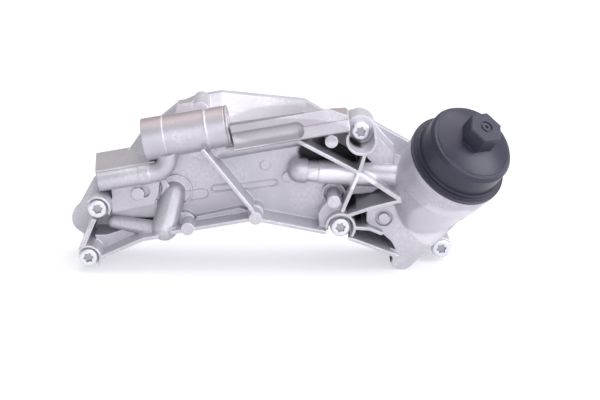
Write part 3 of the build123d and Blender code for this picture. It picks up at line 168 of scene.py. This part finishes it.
class Tree:
    """A small helper that lays out one node tree."""

    COLUMN_WIDTH = 180

    def __init__(self, tree: bpy.types.NodeTree) -> None:
        """Takes the tree to fill.

        Args:
            tree: node tree of a material, a world or a group.
        """
        self.tree = tree
        self.column = 0

    def add(self, kind: str, **settings: object) -> bpy.types.Node:
        """Adds a node and sets its plain properties.

        Args:
            kind: Blender's node type name.
            settings: property names and values.

        Returns:
            The new node.
        """
        node = self.tree.nodes.new(kind)
        for name, value in settings.items():
            setattr(node, name, value)
        node.location = (self.column * self.COLUMN_WIDTH, 0)
        self.column += 1
        return node

    def link(self, source: bpy.types.NodeSocket, target: bpy.types.NodeSocket) -> None:
        """Joins two sockets."""
        self.tree.links.new(source, target)

    def feed(self, socket: bpy.types.NodeSocket, value: object) -> None:
        """Links a socket to another one, or sets it.

        Args:
            socket: the input to feed.
            value: an output socket, or a plain value.
        """
        if isinstance(value, bpy.types.NodeSocket):
            self.link(value, socket)
        else:
            socket.default_value = value

    def math(self, operation: str, *values: object, clamp: bool = False) -> bpy.types.NodeSocket:
        """Adds a math node fed with numbers or sockets.

        Args:
            operation: the math node's operation.
            values: up to three numbers or sockets.
            clamp: whether the result is kept between 0 and 1.

        Returns:
            The result socket.
        """
        node = self.add("ShaderNodeMath", operation=operation, use_clamp=clamp)
        for index, value in enumerate(values):
            self.feed(node.inputs[index], value)
        return node.outputs[0]

    def span(
        self, value: bpy.types.NodeSocket, low: float, high: float, out_low: float, out_high: float
    ) -> bpy.types.NodeSocket:
        """Maps a value from one span to another, smoothly and clamped.

        Args:
            value: socket with the value.
            low: start of the input span.
            high: end of the input span.
            out_low: result at the start.
            out_high: result at the end.

        Returns:
            The result socket.
        """
        node = self.add("ShaderNodeMapRange", interpolation_type="SMOOTHSTEP")
        self.link(value, node.inputs["Value"])
        node.inputs["From Min"].default_value = low
        node.inputs["From Max"].default_value = high
        node.inputs["To Min"].default_value = out_low
        node.inputs["To Max"].default_value = out_high
        return node.outputs["Result"]

    def blend(self, factor: object, first: object, second: object) -> bpy.types.NodeSocket:
        """Mixes two colours.

        Args:
            factor: number or socket.
            first: colour or socket for factor 0.
            second: colour or socket for factor 1.

        Returns:
            The colour socket.
        """
        node = self.add("ShaderNodeMix", data_type="RGBA")
        for socket, value in zip((node.inputs[0], node.inputs[6], node.inputs[7]), (factor, first, second)):
            self.feed(socket, value)
        return node.outputs[2]

    def place(self) -> bpy.types.NodeSocket:
        """Adds the place on the object.

        Returns:
            The socket of object coordinates.
        """
        return self.add("ShaderNodeTexCoord").outputs["Object"]

    def facing(self) -> bpy.types.NodeSocket:
        """Adds the way that the surface faces.

        Returns:
            The normal's socket.
        """
        return self.add("ShaderNodeNewGeometry").outputs["Normal"]

    def noise(
        self, place: bpy.types.NodeSocket, scale: object, detail: float, roughness: float = 0.5
    ) -> bpy.types.NodeSocket:
        """Adds a noise.

        Args:
            place: the socket of coordinates.
            scale: number or socket.
            detail: how many octaves it has.
            roughness: how strong the finer ones are.

        Returns:
            The value socket, about 0.5 in the middle.
        """
        node = self.add("ShaderNodeTexNoise")
        self.link(place, node.inputs["Vector"])
        self.feed(node.inputs["Scale"], scale)
        node.inputs["Detail"].default_value = detail
        node.inputs["Roughness"].default_value = roughness
        return node.outputs["Fac"]

    def parts(self, vector: bpy.types.NodeSocket) -> bpy.types.bpy_prop_collection:
        """Splits a vector.

        Args:
            vector: the socket to split.

        Returns:
            The outputs X, Y and Z.
        """
        split = self.add("ShaderNodeSeparateXYZ")
        self.link(vector, split.inputs[0])
        return split.outputs


class EffectGroups:
    """Shader node groups that several finishes share."""

    FINE_DETAIL = 3.0
    WAVE_DETAIL = 2.0
    BLOTCH_SCALE = 28.0
    BLOTCH_DETAIL = 4.0
    BLOTCH_SPAN = (0.35, 0.68)
    MOTTLE_SCALE = 380.0
    MOTTLE_DETAIL = 6.0
    MOTTLE_ROUGHNESS = 0.65
    MOTTLE_SPAN = (0.35, 0.65)
    BEVEL_SAMPLES = 6
    EDGE_SPAN = (0.995, 0.8)

    def __init__(self) -> None:
        """Builds the groups once."""
        self.grain = self.build_grain()
        self.edge = self.build_edge()
        self.top_shade = self.build_top_shade()
        self.zone = self.build_zone()

    def new_group(self, name: str, inputs: dict[str, float], outputs: list[str]) -> bpy.types.NodeTree:
        """Makes an empty group, whose sockets are floats apart from the output Normal.

        Args:
            name: the group's name.
            inputs: input names with their default values.
            outputs: output names.

        Returns:
            The group.
        """
        group = bpy.data.node_groups.new(name, "ShaderNodeTree")
        for label, value in inputs.items():
            socket = group.interface.new_socket(label, in_out="INPUT", socket_type="NodeSocketFloat")
            socket.default_value = value
        for label in outputs:
            kind = "NodeSocketVector" if label == "Normal" else "NodeSocketFloat"
            group.interface.new_socket(label, in_out="OUTPUT", socket_type=kind)
        return group

    def build_grain(self) -> bpy.types.NodeTree:
        """Builds the skin of a casting: fine grain, soft waves, slow blotches and a fine mottle.

        Returns:
            The group, with a height and the masks of blotches and mottle.
        """
        group = self.new_group(
            "surface_grain",
            {"Fine Scale": 1500.0, "Wave Scale": 160.0, "Wave Share": 0.4},
            ["Height", "Blotch", "Mottle"],
        )
        tree = Tree(group)
        given = tree.add("NodeGroupInput")
        place = tree.place()
        fine = tree.noise(place, given.outputs["Fine Scale"], self.FINE_DETAIL)
        wave = tree.noise(place, given.outputs["Wave Scale"], self.WAVE_DETAIL)
        blotch = tree.noise(place, self.BLOTCH_SCALE, self.BLOTCH_DETAIL)
        mottle = tree.noise(place, self.MOTTLE_SCALE, self.MOTTLE_DETAIL, self.MOTTLE_ROUGHNESS)
        slow = tree.math("MULTIPLY", wave, given.outputs["Wave Share"])
        given_back = tree.add("NodeGroupOutput")
        tree.link(tree.math("ADD", fine, slow), given_back.inputs["Height"])
        tree.link(tree.span(blotch, *self.BLOTCH_SPAN, 0.0, 1.0), given_back.inputs["Blotch"])
        tree.link(tree.span(mottle, *self.MOTTLE_SPAN, 0.0, 1.0), given_back.inputs["Mottle"])
        return group

    def build_edge(self) -> bpy.types.NodeTree:
        """Builds rounded edges and a mask that shows where they are.

        Returns:
            The group, with a rounded normal and an edge mask.
        """
        group = self.new_group("rounded_edges", {"Radius": 0.0012}, ["Normal", "Edge"])
        tree = Tree(group)
        given = tree.add("NodeGroupInput")
        bevel = tree.add("ShaderNodeBevel", samples=self.BEVEL_SAMPLES)
        tree.link(given.outputs["Radius"], bevel.inputs["Radius"])
        turn = tree.add("ShaderNodeVectorMath", operation="DOT_PRODUCT")
        tree.link(bevel.outputs["Normal"], turn.inputs[0])
        tree.link(tree.facing(), turn.inputs[1])
        given_back = tree.add("NodeGroupOutput")
        tree.link(bevel.outputs["Normal"], given_back.inputs["Normal"])
        tree.link(tree.span(turn.outputs["Value"], *self.EDGE_SPAN, 0.0, 1.0), given_back.inputs["Edge"])
        return group

    def build_top_shade(self) -> bpy.types.NodeTree:
        """Builds a mask for painted warm shade on faces that look up.

        Behind its back depth only faces that look nearly straight up take it, and none to the right
        of the hood's full reach.

        Returns:
            The group, with a mask.
        """
        group = self.new_group(
            "painted_top_shade", {"Back Start": 0.88, "Front Start": 0.35, "Full": 1.0}, ["Mask"]
        )
        tree = Tree(group)
        given = tree.add("NodeGroupInput")
        normal = tree.parts(tree.facing())
        place = tree.place()
        spot = tree.parts(place)
        behind = tree.span(spot["Y"], TOP_SHADE_FRONT, TOP_SHADE_BACK, 0.0, 1.0)
        gain = tree.math("SUBTRACT", given.outputs["Back Start"], given.outputs["Front Start"])
        start = tree.math("MULTIPLY_ADD", behind, gain, given.outputs["Front Start"])
        hood = tree.math("MULTIPLY", behind, tree.span(spot["X"], TOP_SHADE_HOOD, TOP_SHADE_HOOD_FULL, 0.0, 1.0))
        start = tree.math("ADD", start, hood)
        reach = tree.math("SUBTRACT", normal["Z"], start)
        run = tree.math("SUBTRACT", tree.math("ADD", given.outputs["Full"], hood), start)
        upward = tree.math("DIVIDE", reach, run, clamp=True)
        height = tree.add("ShaderNodeVectorMath", operation="DOT_PRODUCT")
        tree.link(place, height.inputs[0])
        height.inputs[1].default_value = CASTING_UP
        upper = tree.span(height.outputs["Value"], TOP_SHADE_FOOT, TOP_SHADE_HEAD, 0.0, 1.0)
        given_back = tree.add("NodeGroupOutput")
        tree.link(tree.math("MULTIPLY", upward, upper), given_back.inputs["Mask"])
        return group

    def build_zone(self) -> bpy.types.NodeTree:
        """Builds a mask for one zone of the object, by its place.

        Returns:
            The group; its mask is 1 inside the zone's ellipse and past its depth.
        """
        group = self.new_group(
            "front_zone",
            {"Centre X": 0.0, "Centre Z": 0.0, "Half X": 0.02, "Half Z": 0.02, "Front": -0.06, "Back": -0.03},
            ["Mask"],
        )
        tree = Tree(group)
        given = tree.add("NodeGroupInput")
        spot = tree.parts(tree.place())
        squares = []
        for axis, centre, half in (("X", "Centre X", "Half X"), ("Z", "Centre Z", "Half Z")):
            away = tree.math("SUBTRACT", spot[axis], given.outputs[centre])
            share = tree.math("DIVIDE", away, given.outputs[half])
            squares.append(tree.math("MULTIPLY", share, share))
        inside = tree.span(tree.math("ADD", *squares), *ZONE_RIM, 0.0, 1.0)
        depth = tree.math("SUBTRACT", spot["Y"], given.outputs["Front"])
        run = tree.math("SUBTRACT", given.outputs["Back"], given.outputs["Front"])
        deep = tree.math("DIVIDE", depth, run, clamp=True)
        ahead = tree.span(spot["Y"], ZONE_END, ZONE_END + ZONE_FADE, 1.0, 0.0)
        frontal = tree.span(tree.parts(tree.facing())["Y"], *ZONE_FACING, 1.0, 0.0)
        reached = tree.math("MULTIPLY", inside, deep)
        allowed = tree.math("MULTIPLY", ahead, frontal)
        given_back = tree.add("NodeGroupOutput")
        tree.link(tree.math("MULTIPLY", reached, allowed), given_back.inputs["Mask"])
        return group


@dataclass(frozen=True)
class Zone:
    """An ellipse seen from the front, which fades in between two depths.

    Attributes are metres in the object's frame. Where back lies ahead of front, the zone is what
    lies ahead of both.
    """

    centre_x: float
    centre_z: float
    half_x: float
    half_z: float
    front: float = -0.066
    back: float = -0.046


@dataclass(frozen=True)
class LightAndShadeZone:
    """A stretch of the casting made darker by painted shade or lighter by painted light."""

    zone: Zone
    tint: Rgb
    share: float


@dataclass(frozen=True)
class Finish:
    """One finish of the object and the numbers that make it."""

    slot: Slot
    base: Rgb
    shade: Rgb
    metallic: float
    roughness: float
    grain_height: float = 0.0
    grain_scale: float = 1500.0
    edge_radius: float = 0.0
    edge_highlight: float = 0.0
    edge_highlight_tint: Rgb = (0.97, 0.96, 1.0)
    soft_zone: Optional[Zone] = None
    soft_radius: float = 0.0
    top_shade: float = 0.0
    mottle: float = 0.0
    pocket_shade_tint: Rgb = (0.02, 0.02, 0.024)
    pocket_shades: tuple[Zone, ...] = ()
    light_and_shade_tints: tuple[LightAndShadeZone, ...] = ()

    @staticmethod
    def place_zone(tree: Tree, groups: EffectGroups, zone: Zone) -> bpy.types.NodeSocket:
        """Adds the mask of one zone.

        Args:
            tree: the material's tree.
            groups: the shared effects.
            zone: place and size of the zone.

        Returns:
            The mask socket.
        """
        node = tree.add("ShaderNodeGroup", node_tree=groups.zone)
        node.inputs["Centre X"].default_value = zone.centre_x
        node.inputs["Centre Z"].default_value = zone.centre_z
        node.inputs["Half X"].default_value = zone.half_x
        node.inputs["Half Z"].default_value = zone.half_z
        node.inputs["Front"].default_value = zone.front
        node.inputs["Back"].default_value = zone.back
        return node.outputs["Mask"]

    def build(self, groups: EffectGroups) -> bpy.types.Material:
        """Makes the material.

        Args:
            groups: the shared effects.

        Returns:
            The new material, named after its slot.
        """
        material = bpy.data.materials.new(self.slot.value)
        material.use_nodes = True
        tree = Tree(material.node_tree)
        surface = material.node_tree.nodes["Principled BSDF"]
        surface.inputs["Metallic"].default_value = self.metallic
        surface.inputs["Roughness"].default_value = self.roughness
        grain = tree.add("ShaderNodeGroup", node_tree=groups.grain)
        grain.inputs["Fine Scale"].default_value = self.grain_scale
        tone = tree.blend(grain.outputs["Blotch"], colour(*self.base), colour(*self.shade))
        share = tree.math("MULTIPLY", grain.outputs["Mottle"], self.mottle)
        tone = tree.blend(share, tone, colour(*self.shade))
        # Painted warm shade: faces that look up are darkened towards a warm tint
        if self.top_shade > 0:
            shaded_top = tree.add("ShaderNodeGroup", node_tree=groups.top_shade)
            share = tree.math("MULTIPLY", shaded_top.outputs["Mask"], self.top_shade)
            tone = tree.blend(share, tone, colour(*TOP_SHADE_TINT))
        normal: Optional[bpy.types.NodeSocket] = None
        if self.edge_radius > 0:
            edge = tree.add("ShaderNodeGroup", node_tree=groups.edge)
            edge.inputs["Radius"].default_value = self.edge_radius
            if self.soft_zone is not None:
                zone = self.place_zone(tree, groups, self.soft_zone)
                gain = self.soft_radius - self.edge_radius
                tree.link(tree.math("MULTIPLY_ADD", zone, gain, self.edge_radius), edge.inputs["Radius"])
            normal = edge.outputs["Normal"]
            # Painted highlight: rounded edges are lightened towards the edge tint
            if self.edge_highlight > 0:
                share = tree.math("MULTIPLY", edge.outputs["Edge"], self.edge_highlight)
                tone = tree.blend(share, tone, colour(*self.edge_highlight_tint))
        # Painted shade and painted light in zones of the casting
        for spot in self.light_and_shade_tints:
            share = tree.math("MULTIPLY", self.place_zone(tree, groups, spot.zone), spot.share)
            tone = tree.blend(share, tone, colour(*spot.tint))
        # Painted shade: pockets and bolt-head recesses are darkened towards their pocket tint
        for pocket_shade in self.pocket_shades:
            tone = tree.blend(self.place_zone(tree, groups, pocket_shade), tone, colour(*self.pocket_shade_tint))
        tree.link(tone, surface.inputs["Base Color"])
        if self.grain_height > 0:
            bump = tree.add("ShaderNodeBump")
            bump.inputs["Strength"].default_value = 1.0
            bump.inputs["Distance"].default_value = self.grain_height
            tree.link(grain.outputs["Height"], bump.inputs["Height"])
            if normal is not None:
                tree.link(normal, bump.inputs["Normal"])
            normal = bump.outputs["Normal"]
        if normal is not None:
            tree.link(normal, surface.inputs["Normal"])
        return material


# The bowl runs into its skirt with a large round here
BOWL_FOOT_ZONE = Zone(0.2900, 0.0120, 0.0300, 0.0260, -0.050, -0.058)

# Painted shade on the beam; painted light on the gallery pipe, bowl side and left ear
CAST_LIGHT_AND_SHADE = (
    LightAndShadeZone(Zone(0.1700, 0.0915, 0.0540, 0.0115, -0.080, -0.075), (0.40, 0.375, 0.41), 0.65),
    LightAndShadeZone(Zone(0.2150, 0.0480, 0.0300, 0.0080, -0.080, -0.075), (0.95, 0.94, 0.98), 0.75),
    LightAndShadeZone(Zone(0.3010, 0.0110, 0.0290, 0.0260, -0.100, -0.095), (0.92, 0.91, 0.96), 0.5),
    LightAndShadeZone(Zone(-0.0180, 0.0080, 0.0140, 0.0200, -0.080, -0.075), (0.92, 0.91, 0.96), 0.65),
)

# Painted shade in the deep pockets between the ribs by the bowl: upper, middle and lower
CAST_POCKET_SHADES = (
    Zone(0.2060, 0.0665, 0.0290, 0.0140, -0.056, -0.048),
    Zone(0.2250, 0.0120, 0.0100, 0.0090),
    Zone(0.2440, -0.0260, 0.0160, 0.0090, -0.071, -0.062),
)

FINISHES = (
    Finish(
        Slot.CASTING, (0.69, 0.675, 0.725), (0.55, 0.54, 0.585), 0.50, 0.42, 0.00013, 1400.0,
        edge_radius=0.0016, edge_highlight=0.9, soft_zone=BOWL_FOOT_ZONE, soft_radius=0.008,
        top_shade=1.0, mottle=0.85, pocket_shades=CAST_POCKET_SHADES, light_and_shade_tints=CAST_LIGHT_AND_SHADE,
    ),
    Finish(
        Slot.CAP, (0.022, 0.022, 0.044), (0.026, 0.026, 0.050), 0.0, 0.38, 0.00002, 2600.0,
        edge_radius=0.0007, edge_highlight=0.5, edge_highlight_tint=(0.10, 0.10, 0.13),
    ),
    Finish(
        Slot.STEEL, (0.80, 0.81, 0.85), (0.74, 0.75, 0.79), 0.7, 0.30, edge_radius=0.0005,
        pocket_shade_tint=(0.42, 0.42, 0.45),
    ),
    Finish(Slot.RUBBER, (0.025, 0.025, 0.026), (0.03, 0.03, 0.03), 0.0, 0.6),
    Finish(Slot.COOLER, (0.62, 0.61, 0.59), (0.5, 0.49, 0.47), 0.9, 0.35, edge_radius=0.0004),
    Finish(Slot.INSERT, (0.05, 0.05, 0.055), (0.06, 0.06, 0.065), 0.0, 0.45, edge_radius=0.0003),
    Finish(Slot.PAPER, (0.72, 0.62, 0.40), (0.66, 0.56, 0.35), 0.0, 0.85, 0.00003, 3000.0),
    Finish(Slot.SPRING, (0.6, 0.6, 0.6), (0.55, 0.55, 0.55), 1.0, 0.25),
)


def head_recess_shades(frame: dict) -> tuple[Zone, ...]:
    """Places painted shade in the six-lobe recess of each bolt head.

    Returns:
        One shade for each bolt mount of the record.
    """
    shades = []
    for mount in frame["record"]["mounts"]:
        if mount["name"].startswith("bolt_"):
            top = SHORT_HEAD_TOP if mount["name"] in SHORT_BOLTS else LONG_HEAD_TOP
            along, _, up = mount["pos_m"]
            shades.append(Zone(along, up, RECESS_R, RECESS_R, RECESS_START - top, RECESS_FULL - top))
    return tuple(shades)


class Finishes:
    """All finishes, built once and handed out by slot."""

    def __init__(self, frame: dict) -> None:
        """Builds the shared groups and every material.
        """
        self.groups = EffectGroups()
        self.materials = {}
        for finish in FINISHES:
            # The steel takes painted shade in its bolt-head recesses
            if finish.slot is Slot.STEEL:
                finish = replace(finish, pocket_shades=head_recess_shades(frame))
            self.materials[finish.slot.value] = finish.build(self.groups)

    def dress(self, piece: bpy.types.Object, slot: str) -> None:
        """Gives a piece the material of a record slot.

        Args:
            piece: the mesh object.
            slot: name of the record slot.
        """
        piece.data.materials.clear()
        piece.data.materials.append(self.materials[slot])


@dataclass
class CadPieces:
    """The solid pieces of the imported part, dressed where they stand."""

    frame: dict
    finishes: Finishes

    def build(self) -> None:
        """Dresses each node with the material of its slot."""
        slots = {part["node"]: part["material_slot"] for part in self.frame["record"]["subparts"]}
        for name, piece in self.frame["nodes"].items():
            self.finishes.dress(piece, slots[name])
            LOG.info("dressed %s with %s", name, slots[name])


@dataclass
class CastDetail:
    """A small raised detail that is one with the casting."""

    finishes: Finishes

    def settle(self, piece: bpy.types.Object, name: str) -> None:
        """Names the new piece, which is the active one, dresses it and lets it ride on the housing.

        Args:
            piece: the finished mesh object.
            name: the piece's name.
        """
        piece.name = name
        bpy.ops.object.transform_apply(location=True, rotation=True, scale=True)
        bpy.ops.object.shade_smooth()
        self.finishes.dress(piece, Slot.CASTING.value)
        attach(piece, "body")
        LOG.info("built %s", piece.name)


@dataclass
class TubeRim(CastDetail):
    """The bright turned rim at the right end of the coolant tube, in casting coordinates."""

    along: float = 140.2 * MM
    up: float = 90.8 * MM
    height: float = 50.0 * MM
    ring_r: float = 16.9 * MM
    bead_r: float = 1.1 * MM
    ring_steps: int = 96
    bead_steps: int = 16

    def build(self) -> None:
        """Turns the rim and lets it ride on the housing."""
        clear_selection()
        bpy.ops.mesh.primitive_torus_add(
            major_radius=self.ring_r, minor_radius=self.bead_r,
            major_segments=self.ring_steps, minor_segments=self.bead_steps,
            location=casting_point(self.along, self.up, self.height),
            rotation=(0.0, math.pi / 2 - CASTING_RISE, 0.0),
        )
        self.settle(bpy.context.object, "tube_rim")


@dataclass(frozen=True)
class Bead:
    """A raised line round a long mark: its end centres in casting coordinates, and its radii."""

    name: str
    start: tuple[float, float]
    end: tuple[float, float]
    turn_r: float
    line_r: float = 0.5 * MM


@dataclass
class FloorBeads(CastDetail):
    """The raised lines round the two long marks on the chamber's front."""

    height: float = 42.9 * MM
    turn_steps: int = 48
    section_steps: int = 3
    beads: tuple[Bead, ...] = (
        Bead("loop_bead", (117.0 * MM, 35.2 * MM), (169.6 * MM, 31.4 * MM), 2.75 * MM),
        Bead("pad_bead", (88.0 * MM, 32.6 * MM), (106.5 * MM, 32.5 * MM), 4.1 * MM, 0.4 * MM),
    )

    def build_bead(self, bead: Bead) -> None:
        """Lays one raised line: a circle drawn out to a long loop and given a round section.

        Args:
            bead: the line's place and size.
        """
        run = Vector(bead.end) - Vector(bead.start)
        middle = (Vector(bead.start) + Vector(bead.end)) / 2
        slope = CASTING_RISE + math.atan2(run.y, run.x)
        clear_selection()
        bpy.ops.mesh.primitive_circle_add(
            vertices=self.turn_steps, radius=bead.turn_r,
            location=casting_point(middle.x, middle.y, self.height),
            rotation=(math.pi / 2, -slope, 0.0),
        )
        line = bpy.context.object
        for vertex in line.data.vertices:
            vertex.co.x += math.copysign(run.length / 2, vertex.co.x)
        bpy.ops.object.convert(target="CURVE")
        line.data.bevel_depth = bead.line_r
        line.data.bevel_resolution = self.section_steps
        bpy.ops.object.convert(target="MESH")
        self.settle(line, bead.name)

    def build(self) -> None:
        """Lays every raised line."""
        for bead in self.beads:
            self.build_bead(bead)


@dataclass
class BypassSpring:
    """The bypass spring, which shortens as the poppet opens."""

    frame: dict
    finishes: Finishes
    node: str = "bypass_spring"
    joint: str = "bypass_travel"

    def build(self) -> None:
        """Copies the solid spring, dresses the copy, hangs it on the spring's body and hides the solid one.
        """
        behaviour = self.frame["record"]["behaviour"]
        body = next(name for name, nodes in behaviour["bodies"].items() if self.node in nodes)
        solid = self.frame["nodes"][self.node]
        mesh = solid.data.copy()
        mesh.transform(solid.matrix_world)
        coil = bpy.data.objects.new(f"{self.node}_coil", mesh)
        bpy.context.scene.collection.objects.link(coil)
        self.finishes.dress(coil, Slot.SPRING.value)
        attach(coil, body)
        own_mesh(coil)
        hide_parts(self.node)
        LOG.info("built %s", coil.name)


@dataclass(frozen=True)
class Lamp:
    """One soft area lamp: its place, size in metres, power in watts and colour."""

    name: str
    place: tuple[float, float, float]
    size: float
    power: float
    tint: Rgb


@dataclass
class Studio:
    """Floor, backdrop light, lamps and camera.

    Places are metres. The floor shows its own glow to the camera and in reflections alone; it
    grows from near to far between the two reaches, and keeps the shadow under the part soft.
    """

    lowest: float
    floor_size: float = 14.0
    floor_tone: Rgb = (0.54, 0.525, 0.53)
    floor_roughness: float = 0.9
    glow_tone: Rgb = (0.94, 0.95, 1.0)
    glow_reach: tuple[float, float] = (0.5, 2.5)
    glow: tuple[float, float] = (0.55, 0.85)
    room_tone: Rgb = (0.97, 0.98, 1.0)
    room_light: float = 0.52
    lamp_target: tuple[float, float, float] = (0.17, -0.05, 0.03)
    camera_place: tuple[float, float, float] = (0.1791, -1.4617, 0.4696)
    camera_tilt: float = 72.5
    lens: float = 102.0
    sensor: float = 36.0
    sight: float = 30.0
    lamps: tuple[Lamp, ...] = (
        Lamp("front_light", (0.45, -2.2, 0.75), 1.4, 16.5, (0.95, 0.94, 1.0)),
        Lamp("overhead_light", (0.5, 0.35, 2.1), 2.6, 37.0, (1.0, 0.97, 0.985)),
        Lamp("side_light", (1.5, -0.5, 0.8), 1.0, 16.0, (0.94, 0.94, 1.0)),
    )

    def build_floor(self) -> None:
        """Lays the pale floor and keeps it out of the object."""
        clear_selection()
        bpy.ops.mesh.primitive_plane_add(size=self.floor_size, location=(0, 0, self.lowest))
        floor = bpy.context.object
        floor.name = "studio_floor"
        bpy.ops.object.transform_apply(location=True, rotation=True, scale=True)
        material = bpy.data.materials.new("studio_floor")
        material.use_nodes = True
        tree = Tree(material.node_tree)
        surface = material.node_tree.nodes["Principled BSDF"]
        surface.inputs["Base Color"].default_value = colour(*self.floor_tone)
        surface.inputs["Roughness"].default_value = self.floor_roughness
        surface.inputs["Specular IOR Level"].default_value = 0.0
        surface.inputs["Emission Color"].default_value = colour(*self.glow_tone)
        path = tree.add("ShaderNodeLightPath")
        seen = tree.math("MAXIMUM", path.outputs["Is Camera Ray"], path.outputs["Is Glossy Ray"])
        seen = tree.math("MAXIMUM", seen, path.outputs["Is Transmission Ray"])
        reach = tree.add("ShaderNodeVectorMath", operation="LENGTH")
        tree.link(tree.place(), reach.inputs[0])
        glow = tree.span(reach.outputs["Value"], *self.glow_reach, *self.glow)
        tree.link(tree.math("MULTIPLY", seen, glow), surface.inputs["Emission Strength"])
        floor.data.materials.append(material)
        floor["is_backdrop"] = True
        LOG.info("built %s", floor.name)

    def build_world(self) -> None:
        """Lights the room softly and shows white behind the floor."""
        world = bpy.data.worlds.new("studio_room")
        bpy.context.scene.world = world
        world.use_nodes = True
        tree = Tree(world.node_tree)
        room = world.node_tree.nodes["Background"]
        path = tree.add("ShaderNodeLightPath")
        seen = tree.math("MAXIMUM", path.outputs["Is Camera Ray"], path.outputs["Is Transmission Ray"])
        tree.link(tree.span(seen, 0.0, 1.0, self.room_light, 1.0), room.inputs["Strength"])
        room.inputs["Color"].default_value = colour(*self.room_tone)
        LOG.info("built the room light")

    def build_lamps(self) -> None:
        """Hangs the area lamps and turns them to the object."""
        for spec in self.lamps:
            data = bpy.data.lights.new(spec.name, "AREA")
            data.energy = spec.power
            data.size = spec.size
            data.color = spec.tint
            lamp = bpy.data.objects.new(spec.name, data)
            lamp.location = spec.place
            aim = Vector(self.lamp_target) - Vector(spec.place)
            lamp.rotation_euler = aim.to_track_quat("-Z", "Y").to_euler()
            bpy.context.scene.collection.objects.link(lamp)
            LOG.info("built %s", spec.name)

    def build_camera(self) -> None:
        """Sets the camera at the photograph's viewing angle."""
        data = bpy.data.cameras.new("camera")
        data.lens = self.lens
        data.sensor_width = self.sensor
        data.clip_end = self.sight
        camera = bpy.data.objects.new("camera", data)
        camera.location = self.camera_place
        camera.rotation_euler = (math.radians(self.camera_tilt), 0.0, 0.0)
        bpy.context.scene.collection.objects.link(camera)
        bpy.context.scene.camera = camera
        LOG.info("built the camera")

    def build(self) -> None:
        """Builds the whole studio."""
        bpy.context.scene.view_settings.view_transform = "Standard"
        self.build_floor()
        self.build_world()
        self.build_lamps()
        self.build_camera()


def main() -> None:
    """Builds the dressed part and its studio in order."""
    logging.basicConfig(level=logging.INFO, format="%(message)s")
    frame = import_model()
    cad_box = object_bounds()
    finishes = Finishes(frame)
    CadPieces(frame, finishes).build()
    TubeRim(finishes).build()
    FloorBeads(finishes).build()
    BypassSpring(frame, finishes).build()
    Studio(lowest=cad_box[0].z - FLOOR_GAP).build()


if __name__ == "__main__":
    main()
